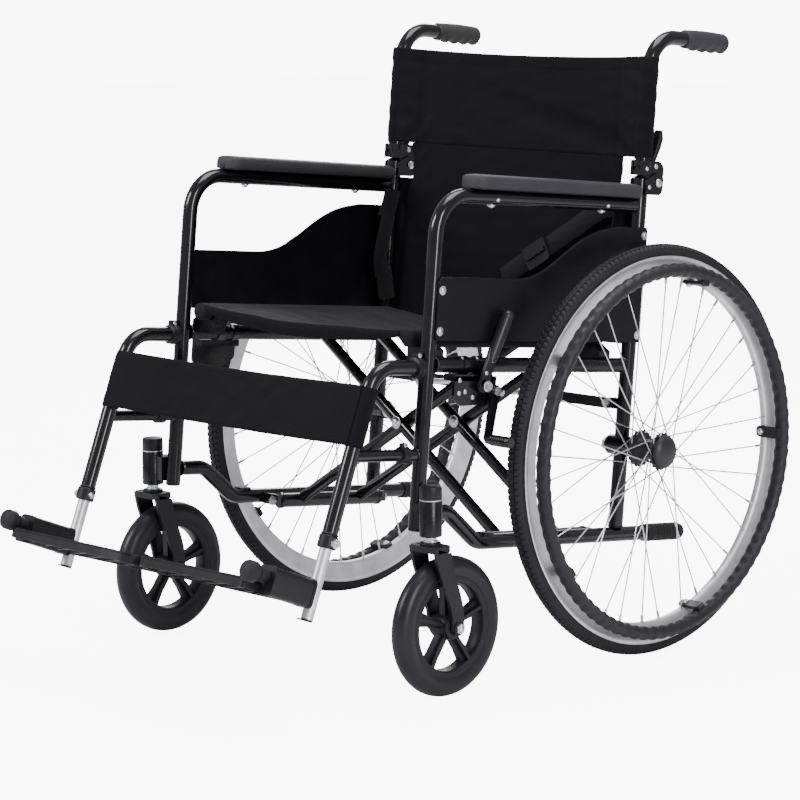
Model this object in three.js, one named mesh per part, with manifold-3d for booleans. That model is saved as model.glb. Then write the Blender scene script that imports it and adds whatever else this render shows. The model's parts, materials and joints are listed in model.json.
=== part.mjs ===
// Folding manual wheelchair, in millimetres, +Z up. The chair faces -Y and the sitter's left is +X.
// The origin is on the floor, under the middle of the chair's box.
import * as THREE from "three";
import { mergeVertices } from "three/addons/utils/BufferGeometryUtils.js";
import Module from "manifold-3d";

const wasm = await Module();
wasm.setup();

// Driving dimensions
const WHEEL_R = 305;             // rear tyre outer radius
const AXLE_Y = 223.42;           // rear axle behind the origin
const FRAME_PITCH = THREE.MathUtils.degToRad(5.5);  // the whole frame leans back by this
const GAP = 0.4;                 // clearance between pieces that touch
const TUBE_R = 11;               // frame tube radius
const FRAME_X = 260;             // side frame plane, from the middle of the chair
const POST_Y = -424;             // front post, ahead of the rear post
const POST_FOOT_Z = -113;
const ARM_Z = 358;               // armrest tube
const ARM_BEND_R = 56;
const SIDE_TUBE_Z = 120;         // side tube at seat level
const RAIL_Z = -134;             // lower rail
const RAIL_START_Z = -87;        // lower rail where it leaves the front post
const RAIL_END_Y = 147;          // tip of the tipping lever
const HANDLE_Z = 608;
const HANDLE_END_Y = 166;
const HINGE_Y = 20;              // half folding back: hinge pin
const HINGE_Z = 392;
const CANE_FOOT_Z = 402;
const FOLD_X = 221;              // lower pivots and seat rails, from the middle
const FOLD_LOW_Z = -137;
const FOLD_TOP_Z = 154;
const FOLD_MID_Z = (FOLD_LOW_Z + FOLD_TOP_Z) / 2;
const X_BRACE_Y = [-202, -78];   // front and rear X brace
const ARM_OFFSET = 7.2;          // the two arms of an X pass side by side
const SEAT_RAIL_Y = [-427, -30];
const SLEEVE_Y = [-240, -25];
const LINK_PIN = new THREE.Vector3(246.6, -16, 62);
const LINK_LENGTH = 165.5;
const LEG_TOP_Y = -525;          // bend between the legrest's top tube and its leg
const LEG_TOP_Z = 116;
const LEG_SLANT = THREE.MathUtils.degToRad(15.7);
const FOOT_PIVOT_Z = -189;       // footplate pivot rod where it meets the leg
const LEG_END = 61;              // leg tube's end above the pivot rod, along the leg
const PLATE_TIP_X = 15.5;        // footplate's inner end
const WHEEL_X = 321;
const TYRE_R = 14.5;
const RIM_OUT_R = 287.7;
const RIM_IN_R = 257;
const HAND_RIM_R = 268;
const HAND_RIM_X = 350.5;
const SPOKES = 36;
const CASTER_X = 297.5;
const CASTER_R = 100;
const CASTER_Y = -410;           // caster axle, from the rear axle, along the floor
const STEM_Y = -440;             // upright caster stem, from the rear axle
const BRAKE_PIN = [-334, 93];    // lever pin, as y and z
const SHOE_PIN = [-316, 86];

const paint = new THREE.MeshStandardMaterial({ color: 0x101012, roughness: 0.25, metalness: 0.3 });
const steel = new THREE.MeshStandardMaterial({ color: 0xb9bcc2, roughness: 0.3, metalness: 0.9 });
const plastic = new THREE.MeshStandardMaterial({ color: 0x1c1c1f, roughness: 0.5, metalness: 0 });
const greyFoam = new THREE.MeshStandardMaterial({ color: 0x45464a, roughness: 0.7, metalness: 0 });
const rubber = new THREE.MeshStandardMaterial({ color: 0x222226, roughness: 0.8, metalness: 0 });
const fabric = new THREE.MeshStandardMaterial({ color: 0x18181c, roughness: 0.9, metalness: 0 });

// A path of straight runs joined by arcs of one radius, sampled only where it bends.
class BentPath extends THREE.Curve {
  constructor(corners, radius = 0, bendSteps = 4) {
    super();
    const points = corners.map((c) => new THREE.Vector3(...c));
    const ahead = (i) => points[i + 1].clone().sub(points[i]).normalize();
    this.stations = [{ p: points[0], t: ahead(0) }];
    for (let i = 1; i < points.length - 1; i++) {
      const [a, b] = [ahead(i - 1), ahead(i)];
      const angle = a.angleTo(b);
      const start = points[i].clone().addScaledVector(a, -radius * Math.tan(angle / 2));
      const inward = b.clone().addScaledVector(a, -a.dot(b)).normalize();
      for (let k = 0; k <= bendSteps; k++) {
        const turn = (angle * k) / bendSteps;
        const p = start.clone().addScaledVector(a, radius * Math.sin(turn));
        p.addScaledVector(inward, radius * (1 - Math.cos(turn)));
        const t = a.clone().multiplyScalar(Math.cos(turn)).addScaledVector(inward, Math.sin(turn));
        this.stations.push({ p, t });
      }
    }
    this.stations.push({ p: points.at(-1), t: ahead(points.length - 2) });
    this.steps = this.stations.length - 1;
  }

  getPointAt(u, target = new THREE.Vector3()) {
    return target.copy(this.stations[Math.round(u * this.steps)].p);
  }

  getTangentAt(u, target = new THREE.Vector3()) {
    return target.copy(this.stations[Math.round(u * this.steps)].t);
  }
}

function ring(radius, sides) {
  const corner = (i) => (2 * Math.PI * (i + 0.5)) / sides;
  return Array.from({ length: sides }, (_, i) =>
    new THREE.Vector2(radius * Math.cos(corner(i)), radius * Math.sin(corner(i))));
}

function tube(corners, radius = TUBE_R, bendRadius = 0, sides = 10) {
  const path = new BentPath(corners, bendRadius);
  const section = new THREE.Shape(ring(radius, sides));
  return new THREE.ExtrudeGeometry(section, { steps: path.steps, extrudePath: path, bevelEnabled: false });
}

function box(low, high) {
  const size = high.map((v, i) => v - low[i]);
  const geometry = new THREE.BoxGeometry(...size);
  return geometry.translate(...low.map((v, i) => v + size[i] / 2));
}

function polygon(points) {
  return new THREE.Shape(points.map((p) => new THREE.Vector2(...p)));
}

// An outline in the Y-Z plane, extruded from xLow to xHigh.
function plateYZ(points, xLow, xHigh) {
  const shape = points instanceof THREE.Shape ? points : polygon(points);
  const settings = { depth: xHigh - xLow, bevelEnabled: false, curveSegments: 6 };
  const geometry = new THREE.ExtrudeGeometry(shape, settings);
  geometry.rotateX(Math.PI / 2).rotateZ(Math.PI / 2);
  return geometry.translate(xLow, 0, 0);
}

// An outline in the X-Z plane, extruded from yLow to yHigh.
function plateXZ(points, yLow, yHigh) {
  const geometry = new THREE.ExtrudeGeometry(polygon(points), { depth: yHigh - yLow, bevelEnabled: false });
  return geometry.rotateX(Math.PI / 2).translate(0, yHigh, 0);
}

// A profile of [radius, x] corners turned about the X axis; it closes on itself, either way round.
function turned(profile, x = 0, segments = 32) {
  const outline = profile.map(([r, h]) => new THREE.Vector2(r, h));
  if (THREE.ShapeUtils.isClockWise(outline)) {
    outline.reverse();
  }
  const body = new THREE.LatheGeometry([...outline, outline[0]], segments);
  return body.rotateZ(-Math.PI / 2).translate(x, 0, 0);
}

function ball(centre, radius) {
  return new THREE.SphereGeometry(radius, 10, 6).translate(...centre);
}

function solid(geometry) {
  const bare = geometry.clone();
  bare.deleteAttribute("normal");
  bare.deleteAttribute("uv");
  const merged = mergeVertices(bare, 1e-3);
  const mesh = new wasm.Mesh({
    numProp: 3,
    vertProperties: new Float32Array(merged.attributes.position.array),
    triVerts: new Uint32Array(merged.index.array),
  });
  mesh.merge();
  return new wasm.Manifold(mesh);
}

function shaped(result) {
  const mesh = result.getMesh();
  const geometry = new THREE.BufferGeometry();
  geometry.setAttribute("position", new THREE.BufferAttribute(new Float32Array(mesh.vertProperties), 3));
  geometry.setIndex(new THREE.BufferAttribute(new Uint32Array(mesh.triVerts), 1));
  geometry.computeVertexNormals();
  return geometry;
}

function join(pieces, cuts = []) {
  let result = pieces.map(solid).reduce((a, b) => a.add(b));
  for (const cut of cuts) {
    result = result.subtract(solid(cut));
  }
  return shaped(result);
}

function mirrored(geometry) {
  const copy = geometry.clone().scale(-1, 1, 1);
  if (!copy.index) {
    const position = copy.attributes.position;
    copy.setIndex(Array.from({ length: position.count }, (_, i) => i));
  }
  const index = copy.index.array;
  for (let i = 0; i < index.length; i += 3) {
    [index[i + 1], index[i + 2]] = [index[i + 2], index[i + 1]];
  }
  copy.computeVertexNormals();
  return copy;
}

const wheelchair = new THREE.Group();
const axleGroup = new THREE.Group();       // level with the floor, at the rear axle
axleGroup.position.set(0, AXLE_Y, WHEEL_R);
const frameGroup = new THREE.Group();      // leans back with the frame
frameGroup.rotation.x = -FRAME_PITCH;
const footGroup = new THREE.Group();       // along the slanted leg, at the footplate pivot
const legDrop = LEG_TOP_Z - FOOT_PIVOT_Z;
footGroup.position.set(0, LEG_TOP_Y - legDrop * Math.tan(LEG_SLANT), FOOT_PIVOT_Z);
footGroup.rotation.x = -LEG_SLANT;
frameGroup.add(footGroup);
axleGroup.add(frameGroup);
wheelchair.add(axleGroup);

function addMesh(group, name, geometry, material) {
  const mesh = new THREE.Mesh(geometry, material);
  mesh.name = name;
  group.add(mesh);
}

function addPair(group, name, geometry, material) {
  addMesh(group, `left_${name}`, geometry, material);
  addMesh(group, `right_${name}`, mirrored(geometry), material);
}

// Front post, bent over into the armrest tube.
function armFrame() {
  const corners = [
    [FRAME_X, POST_Y, POST_FOOT_Z],
    [FRAME_X, POST_Y, ARM_Z],
    [FRAME_X, -TUBE_R - GAP, ARM_Z],
  ];
  return tube(corners, TUBE_R, ARM_BEND_R);
}

// Lower rail with its S bend, and the rod that carries the cross frame's hinge sleeve.
function lowerRail() {
  const rail = tube([
    [FRAME_X, POST_Y + TUBE_R + GAP, RAIL_START_Z],
    [FRAME_X, -365, RAIL_START_Z],
    [FRAME_X, -300, RAIL_Z],
    [FRAME_X, RAIL_END_Y, RAIL_Z],
  ], TUBE_R, 35);
  const [first, last] = SLEEVE_Y;
  const lug = (y) => box([FOLD_X - 8, y, RAIL_Z - 10], [FRAME_X, y + 8, RAIL_Z + 6]);
  const rod = tube([[FOLD_X, first - 6, FOLD_LOW_Z], [FOLD_X, last + 6, FOLD_LOW_Z]], 6);
  return join([rail, rod, lug(first - 9), lug(last + 1)]);
}

// Side tube at seat level, with the two saddles that hold the seat rail.
function sideTube() {
  const pipe = tube([
    [FRAME_X, POST_Y + TUBE_R + GAP, SIDE_TUBE_Z],
    [FRAME_X, -TUBE_R - GAP, SIDE_TUBE_Z],
  ]);
  const saddle = (y) => box([FOLD_X - 15, y, SIDE_TUBE_Z + 2], [FRAME_X - 6, y + 24, FOLD_TOP_Z - 3]);
  const bed = tube([[FOLD_X, SEAT_RAIL_Y[0] - 9, FOLD_TOP_Z], [FOLD_X, 0, FOLD_TOP_Z]], TUBE_R + GAP);
  return join([pipe, saddle(-410), saddle(-58)], [bed]);
}

// Rear post with the fixed axle, the lug of the link bar and the lower half of the back hinge.
function rearPost() {
  const post = tube([[FRAME_X, 0, RAIL_Z + TUBE_R + GAP], [FRAME_X, 0, CANE_FOOT_Z - 4]]);
  const axleSleeve = tube([[FRAME_X - 22, 0, 0], [FRAME_X + 25, 0, 0]], 15);
  const axle = tube([[FRAME_X - 35, 0, 0], [WHEEL_X + 29, 0, 0]], 6, 0, 8);
  const nut = tube([[FRAME_X - 31, 0, 0], [FRAME_X - 22, 0, 0]], 10, 0, 6);
  const outerNut = tube([[WHEEL_X + 22.4, 0, 0], [WHEEL_X + 29, 0, 0]], 9, 0, 6);
  const lug = box([LINK_PIN.x - 6, -13, LINK_PIN.z - 8], [FRAME_X + 2, -3, LINK_PIN.z + 8]);
  const linkPin = tube([[LINK_PIN.x, -12, LINK_PIN.z], [LINK_PIN.x, -26, LINK_PIN.z]], 4, 0, 8);
  const cheek = (x) => plateYZ([[-6, 374], [28, 374], [32, 382], [32, 402], [20, 408], [-6, 396]], x, x + 3);
  const hingePin = tube([[FRAME_X - 19, HINGE_Y, HINGE_Z], [FRAME_X + 19, HINGE_Y, HINGE_Z]], 4, 0, 8);
  const webbing = box([FRAME_X - 15, -5, 374], [FRAME_X + 15, 9, 378]);
  const parts = [post, axleSleeve, axle, nut, outerNut, lug, linkPin, hingePin, webbing];
  return join([...parts, cheek(FRAME_X - 16), cheek(FRAME_X + 13)]);
}

// Back cane, bent into the push handle, with the upper half of the back hinge.
function cane() {
  const pipe = tube([
    [FRAME_X, 0, CANE_FOOT_Z],
    [FRAME_X, 0, HANDLE_Z],
    [FRAME_X, HANDLE_END_Y, HANDLE_Z],
  ], TUBE_R, 50);
  const bracketFoot = [[-12, CANE_FOOT_Z], [11.6, CANE_FOOT_Z], [11.6, 392], [14, 386], [20, 383.6], [26, 386]];
  const bracketTop = [[30, 392], [37, 402], [37, 422], [-12, 424]];
  const tongue = plateYZ([...bracketFoot, ...bracketTop], FRAME_X - 12, FRAME_X + 12);
  const pinHole = tube([[FRAME_X - 20, HINGE_Y, HINGE_Z], [FRAME_X + 20, HINGE_Y, HINGE_Z]], 4 + GAP, 0, 8);
  const latchSlot = box([FRAME_X - 7, 11.6, 404], [FRAME_X + 7, 45, 430]);
  const latchPin = tube([[FRAME_X - 11, 18, 416], [FRAME_X + 11, 18, 416]], 2.5, 0, 8);
  return join([join([pipe, tongue], [pinHole, latchSlot]), latchPin]);
}

// Release lever of the back hinge, on a pin in the cane's bracket.
function backLatch() {
  const rod = tube([[FRAME_X, 18, 416], [FRAME_X, 31, 463]], 4, 0, 8);
  const eye = tube([[FRAME_X - 6, 18, 416], [FRAME_X + 6, 18, 416]], 6, 0, 8);
  const hole = tube([[FRAME_X - 8, 18, 416], [FRAME_X + 8, 18, 416]], 2.5 + GAP, 0, 8);
  return join([rod, eye, ball([FRAME_X, 31, 463], 8)], [hole]);
}

function grip() {
  const [bore, outer] = [TUBE_R + GAP, 15.5];
  const inside = [[0, 94.6], [bore, 94.6]];
  const outside = [[bore, 0], [outer - 2, 0], [outer, 3], [outer, 92], [outer - 3, 97], [0, 97]];
  const profile = [...inside, ...outside].map((p) => new THREE.Vector2(...p));
  const sleeve = new THREE.LatheGeometry(profile, 14);
  return sleeve.translate(FRAME_X, HANDLE_END_Y - 94, HANDLE_Z);
}

function armPad() {
  const [half, front, rear, corner] = [24, -365, -12, 20];
  const outline = new THREE.Shape();
  outline.moveTo(-half, front + corner);
  outline.quadraticCurveTo(-half, front, 0, front);
  outline.quadraticCurveTo(half, front, half, front + corner);
  outline.lineTo(half, rear - corner);
  outline.quadraticCurveTo(half, rear, 0, rear);
  outline.quadraticCurveTo(-half, rear, -half, rear - corner);
  const pad = new THREE.ExtrudeGeometry(outline, { depth: 19, bevelEnabled: false, curveSegments: 5 });
  return pad.translate(FRAME_X, 0, ARM_Z + TUBE_R + GAP);
}

// Clothing guard: a thin panel outside the posts, with a wave along its top.
function sideGuard() {
  const outline = new THREE.Shape();
  outline.moveTo(-424, 155);
  outline.lineTo(7, 155);
  outline.lineTo(7, 324);
  outline.lineTo(-58, 324);
  outline.bezierCurveTo(-165, 317, -185, 243, -272, 243);
  outline.lineTo(-416, 241);
  outline.lineTo(-424, 234);
  return plateYZ(outline, FRAME_X + TUBE_R + 0.6, FRAME_X + TUBE_R + 3.1);
}

// Legrest: top tube bent into the leg, clamp, lower brace with its collar. The leg is bored for the
// slider.
function legrest() {
  const from = POST_Y - TUBE_R - GAP;
  const [dropY, dropZ] = [Math.sin(LEG_SLANT), Math.cos(LEG_SLANT)];
  const point = (along, x = FRAME_X) => [x, LEG_TOP_Y - along * dropY, LEG_TOP_Z - along * dropZ];
  const legLength = legDrop / Math.cos(LEG_SLANT) - LEG_END;
  const leg = tube([[FRAME_X, from, LEG_TOP_Z], point(0), point(legLength)], TUBE_R, 45);
  const clamp = tube([[FRAME_X, from, LEG_TOP_Z], [FRAME_X, from - 16, LEG_TOP_Z]], 14.5);
  const braceZ = -6;
  const brace = tube([[FRAME_X, from, braceZ], [FRAME_X, -555, braceZ]], 8.5, 0, 10);
  const collar = tube([[FRAME_X, -452, braceZ], [FRAME_X, -467, braceZ]], 12);
  const heightCollar = tube([point(legLength - 17), point(legLength)], 13.5);
  const knob = tube([point(legLength - 8, FRAME_X + 8), point(legLength - 8, FRAME_X + 24)], 5, 0, 8);
  const bore = tube([point(legLength - 130), point(legLength + 5)], 9.3);
  return join([leg, clamp, brace, collar, heightCollar, knob], [bore]);
}

// Steel slider inside the leg, with the pivot rod and its ball end. Drawn along the leg.
function footSlider() {
  const slider = tube([[FRAME_X, 0, -40], [FRAME_X, 0, LEG_END + 85]], 8.8);
  const rod = tube([[FRAME_X, 0, 0], [FRAME_X, -118, 0]], 8, 0, 10);
  return join([slider, rod, ball([FRAME_X, -121, 0], 13)]);
}

// Footplate and its hinge housing, bored for the pivot rod. Its tip is thin so that the two plates
// pass each other's edge as they turn up.
function footplate() {
  const outline = new THREE.Shape();
  outline.moveTo(PLATE_TIP_X, -24);
  outline.lineTo(248, -14);
  outline.lineTo(248, -124);
  outline.lineTo(60, -112);
  outline.quadraticCurveTo(PLATE_TIP_X, -108, PLATE_TIP_X, -70);
  const deck = new THREE.ExtrudeGeometry(outline, { depth: 14, bevelEnabled: false, curveSegments: 5 });
  deck.translate(0, 0, -23);
  const housing = box([246, -92, -24], [275, -14, 14]);
  const bore = tube([[FRAME_X, 0, 0], [FRAME_X, -130, 0]], 8 + GAP, 0, 16);
  const ballRoom = ball([FRAME_X, -121, 0], 13.6);
  const thinTip = plateXZ([[5, -30], [42, -23], [PLATE_TIP_X, -15], [5, -13]], -130, 0);
  return join([deck, housing], [bore, ballRoom, thinTip]);
}

// Half of the cross frame: a hinge sleeve on one side and two arms up to the other side's seat rail.
// side is 1 where the sleeve is on the left; offset shifts the arms so that the halves pass each other.
function crossBrace(side, offset, pivots) {
  const sleeve = tube([[side * FOLD_X, SLEEVE_Y[0], FOLD_LOW_Z], [side * FOLD_X, SLEEVE_Y[1], FOLD_LOW_Z]]);
  const low = new THREE.Vector2(side * FOLD_X, FOLD_LOW_Z);
  const high = new THREE.Vector2(-side * FOLD_X, FOLD_TOP_Z);
  const reach = high.clone().sub(low);
  const length = reach.length() - TUBE_R - 1;
  const arm = (y) => {
    const bar = new THREE.CylinderGeometry(1, 1, length, 10).rotateY(Math.PI / 10).scale(9.5, 1, 6.4);
    bar.translate(0, length / 2, 0).rotateX(Math.PI / 2);
    bar.rotateY(Math.atan2(reach.x, reach.y));
    return bar.translate(low.x, y + offset, low.y);
  };
  const bolt = (y, radius) => tube([[0, y - 17, FOLD_MID_Z], [0, y + 17, FOLD_MID_Z]], radius, 0, 10);
  const linkShare = 97 / 264.5;
  const [linkX, linkZ] = [-side * FOLD_X * linkShare, FOLD_MID_Z + (FOLD_TOP_Z - FOLD_MID_Z) * linkShare];
  const linkPin = tube([[linkX, X_BRACE_Y[1] + offset, linkZ], [linkX, -24.5, linkZ]], 5, 0, 8);
  const room = tube([[side * FOLD_X, SLEEVE_Y[0] - 9, FOLD_LOW_Z], [side * FOLD_X, 0, FOLD_LOW_Z]], 6 + GAP);
  const bolts = X_BRACE_Y.map((y) => bolt(y, pivots ? 4.5 : 4.5 + GAP));
  const parts = [sleeve, ...X_BRACE_Y.map(arm), linkPin];
  return pivots ? join([join(parts, [room]), ...bolts]) : join(parts, [room, ...bolts]);
}

function seatRail() {
  return tube([[FOLD_X, SEAT_RAIL_Y[0], FOLD_TOP_Z], [FOLD_X, SEAT_RAIL_Y[1], FOLD_TOP_Z]]);
}

// Link bar from the rear post to the cross frame, drawn with its length inward.
function linkBar() {
  const [yLow, yHigh] = [-23, -18];
  const { x, z } = LINK_PIN;
  const end = (cx) => tube([[cx, yLow, z], [cx, yHigh, z]], 8);
  const bar = box([x - LINK_LENGTH, yLow, z - 7], [x, yHigh, z + 7]);
  const hole = tube([[x, -30, z], [x, 0, z]], 4 + GAP, 0, 8);
  return join([bar, end(x), end(x - LINK_LENGTH)], [hole]);
}

function rearTyre() {
  const centre = WHEEL_R - TYRE_R;
  const profile = [];
  const from = 1.75;
  for (let i = 0; i <= 6; i++) {
    const a = from - (2 * from * i) / 6;
    profile.push([centre + TYRE_R * Math.cos(a), TYRE_R * Math.sin(a)]);
  }
  return turned(profile, WHEEL_X, 40);
}

function rearRim() {
  const half = 12.5;
  const well = [[RIM_IN_R + 22, -half], [RIM_IN_R, -5], [RIM_IN_R, 5], [RIM_IN_R + 22, half]];
  return turned([[RIM_OUT_R, half], [RIM_OUT_R, -half], ...well], WHEEL_X, 40);
}

// Hand rim with the five brackets that hold it to the wheel's rim.
function handRim() {
  const tubeR = 10;
  const profile = ring(tubeR, 6).map((p) => [HAND_RIM_R + p.x, 1.15 * p.y]);
  const brackets = Array.from({ length: 5 }, (_, i) => {
    const tab = box([WHEEL_X + 13, 251, -8], [HAND_RIM_X, 267, 8]);
    return tab.rotateX((2 * Math.PI * i) / 5);
  });
  return join([turned(profile, HAND_RIM_X, 40), ...brackets]);
}

// Hub shell with two flanges, and spokes laced tangentially from each flange to the rim.
function hub() {
  const bore = [[6.5, -30], [6.5, 22]];
  const outerFlange = [[17, 22], [17, 19], [26, 19], [26, 16], [15, 10]];
  const innerFlange = [[15, -20], [26, -22], [26, -25], [17, -30]];
  const parts = [turned([...bore, ...outerFlange, ...innerFlange], WHEEL_X, 16)];
  for (let i = 0; i < SPOKES; i++) {
    const outer = i % 2 === 0;
    const lean = i % 4 < 2 ? 1 : -1;
    const rimAngle = (2 * Math.PI * i) / SPOKES;
    const hubAngle = rimAngle + lean * 1.15;
    const flange = outer ? 17.5 : -23.5;
    const side = lean * 1.4;
    const rimR = RIM_IN_R - 2;
    const start = [flange + side, 23 * Math.cos(hubAngle), 23 * Math.sin(hubAngle)];
    const end = [(outer ? 3 : -3) + side, rimR * Math.cos(rimAngle), rimR * Math.sin(rimAngle)];
    parts.push(tube([start, end], 1.3, 0, 3).translate(WHEEL_X, 0, 0));
  }
  return join(parts);
}

function brakeBracket() {
  const saddle = box([FRAME_X - 2, -386, 99], [280, -310, 108.4]);
  const outline = [[-386, 100], [-386, 74], [-372, 64], [-322, 66], [-302, 80], [-302, 104], [-310, 104]];
  const ear = plateYZ(outline, 276, 280);
  const pin = ([y, z]) => tube([[277, y, z], [298, y, z]], 4, 0, 10);
  const lighteningHole = tube([[270, -362, 82], [285, -362, 82]], 7, 0, 8);
  return join([saddle, ear, pin(BRAKE_PIN), pin(SHOE_PIN)], [lighteningHole]);
}

function brakeLever() {
  const [y, z] = BRAKE_PIN;
  const eye = tube([[283, y, z], [289, y, z]], 9);
  const blade = plateYZ([[y - 8, z + 2], [y + 6, z - 2], [y + 26, z + 62], [y + 14, z + 66]], 283, 289);
  const handle = tube([[286, y + 13, z + 36], [286, y + 41, z + 104]], 7.5, 0, 10);
  const hole = tube([[280, y, z], [292, y, z]], 4 + GAP, 0, 10);
  return join([eye, blade, handle], [hole]);
}

function brakeShoe() {
  const [y, z] = SHOE_PIN;
  const eye = tube([[290.5, y, z], [295, y, z]], 8.5);
  const arm = plateYZ([[y - 6, z], [y + 6, z], [y - 3, z - 68], [y - 15, z - 68]], 290.5, 295);
  const bar = tube([[291, y - 10, z - 68], [340, y - 10, z - 68]], 7, 0, 10);
  const hole = tube([[288, y, z], [299, y, z]], 4 + GAP, 0, 10);
  return join([eye, arm, bar], [hole]);
}

// Caster housing on its bracket, open below for the stem. Drawn level with the floor.
function casterHousing() {
  const floor = -WHEEL_R;
  const upright = (r, low, high, sides = 12) =>
    tube([[CASTER_X, STEM_Y, floor + low], [CASTER_X, STEM_Y, floor + high]], r, 0, sides);
  const inner = FRAME_X + TUBE_R + 1;
  const bracket = box([inner, STEM_Y - 6, floor + 240], [CASTER_X - 8, STEM_Y + 20, floor + 276]);
  const cap = [upright(14.2, 282, 284.5), upright(15.5, 284, 303)];
  const barrel = join([upright(16, 232, 282.5), ...cap, bracket]);
  return join([barrel], [upright(6 + GAP, 220, 291)]);
}

function casterFork() {
  const floor = -WHEEL_R;
  const stem = (z) => [CASTER_X, STEM_Y, floor + z];
  const upright = (r, low, high) => tube([stem(low), stem(high)], r);
  const crown = box([CASTER_X - 26, STEM_Y - 17, floor + 213], [CASTER_X + 26, STEM_Y + 16, floor + 221]);
  const leg = (x) => {
    const outline = new THREE.Shape();
    outline.moveTo(STEM_Y - 17, floor + 221);
    const axleZ = floor + CASTER_R;
    outline.bezierCurveTo(STEM_Y - 10, floor + 170, CASTER_Y - 14, floor + 150, CASTER_Y - 9, axleZ - 4);
    outline.quadraticCurveTo(CASTER_Y, axleZ - 18, CASTER_Y + 9, axleZ - 4);
    outline.bezierCurveTo(CASTER_Y + 12, floor + 150, STEM_Y + 16, floor + 170, STEM_Y + 16, floor + 221);
    return plateYZ(outline, x, x + 5);
  };
  const bolt = tube([-29, 29].map((x) => [CASTER_X + x, CASTER_Y, floor + CASTER_R]), 5, 0, 8);
  const stemPieces = [upright(6, 212, 290), upright(10, 220, 231.5)];
  return join([crown, leg(CASTER_X - 26), leg(CASTER_X + 21), bolt, ...stemPieces]);
}

function casterTyre() {
  const profile = [[73, 13], [73, -13], [86, -15], [96, -10], [CASTER_R, 0], [96, 10], [86, 15]];
  return turned(profile, CASTER_X, 32).translate(0, CASTER_Y, CASTER_R - WHEEL_R);
}

// Moulded caster wheel: rim band, hub and five spokes.
function casterWheel() {
  const band = turned([[72.6, 13], [72.6, -13], [63, -11], [63, 11]], 0, 24);
  const hubCore = turned([[18, 17], [18, -17], [5.4, -17], [5.4, 17]], 0, 12);
  const spokes = Array.from({ length: 5 }, (_, i) => {
    const spoke = box([-8, -8, 12], [8, 8, 66]);
    return spoke.rotateX((2 * Math.PI * i) / 5);
  });
  return join([band, hubCore, ...spokes]).translate(CASTER_X, CASTER_Y, CASTER_R - WHEEL_R);
}

// Soft goods, as plain solids: half of the seat sling, back panels, calf strap and belt halves.
function seatHalf() {
  const [low, high] = [FOLD_TOP_Z + TUBE_R + GAP, FOLD_TOP_Z + TUBE_R + 9];
  return box([0.5, SEAT_RAIL_Y[0], low], [FOLD_X + 14, SEAT_RAIL_Y[1], high]);
}

function beltHalf() {
  return box([212, -20, 200], [240, -13, 345]);
}

addPair(frameGroup, "arm_frame", armFrame(), paint);
addPair(frameGroup, "lower_rail", lowerRail(), paint);
addPair(frameGroup, "side_tube", sideTube(), paint);
addPair(frameGroup, "rear_post", rearPost(), paint);
addPair(frameGroup, "back_cane", cane(), paint);
addPair(frameGroup, "back_latch", backLatch(), plastic);
addPair(frameGroup, "push_grip", grip(), greyFoam);
addPair(frameGroup, "arm_pad", armPad(), greyFoam);
addPair(frameGroup, "side_guard", sideGuard(), plastic);
addPair(frameGroup, "legrest", legrest(), paint);
addPair(footGroup, "foot_slider", footSlider(), steel);
addPair(footGroup, "footplate", footplate(), plastic);
addMesh(frameGroup, "left_cross_brace", crossBrace(1, -ARM_OFFSET, true), paint);
addMesh(frameGroup, "right_cross_brace", crossBrace(-1, ARM_OFFSET, false), paint);
addPair(frameGroup, "seat_rail", seatRail(), paint);
addPair(frameGroup, "link_bar", linkBar(), paint);
addPair(frameGroup, "brake_bracket", brakeBracket(), paint);
addPair(frameGroup, "brake_lever", brakeLever(), plastic);
addPair(frameGroup, "brake_shoe", brakeShoe(), steel);
addPair(axleGroup, "rear_tyre", rearTyre(), rubber);
addPair(axleGroup, "rear_rim", rearRim(), steel);
addPair(axleGroup, "wheel_hub", hub(), steel);
addPair(axleGroup, "hand_rim", handRim(), plastic);
addPair(axleGroup, "caster_housing", casterHousing(), paint);
addPair(axleGroup, "caster_fork", casterFork(), plastic);
addPair(axleGroup, "caster_tyre", casterTyre(), rubber);
addPair(axleGroup, "caster_wheel", casterWheel(), plastic);
addPair(frameGroup, "seat_half", seatHalf(), fabric);
addPair(frameGroup, "belt_half", beltHalf(), fabric);
addMesh(frameGroup, "back_sling_upper", box([-247, -7, 428], [247, 7, 577]), fabric);
addMesh(frameGroup, "back_sling_lower", box([-222, -9, 178], [222, 3, 427]), fabric);
addMesh(footGroup, "calf_strap", box([-262, -16, 203], [262, -11.3, 288]), fabric);

export default wheelchair;
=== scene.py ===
"""Folding manual wheelchair: the looks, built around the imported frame.

The row frame is in metres, +Z up, and the chair faces -Y. Shapes are drawn in millimetres in one of
three spaces (LEAN, LEVEL, FOOT) and placed in the row frame by that space's matrix.
"""
import json
import math

import bmesh
import bpy
import numpy as np
from mathutils import Matrix, Vector, noise


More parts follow.
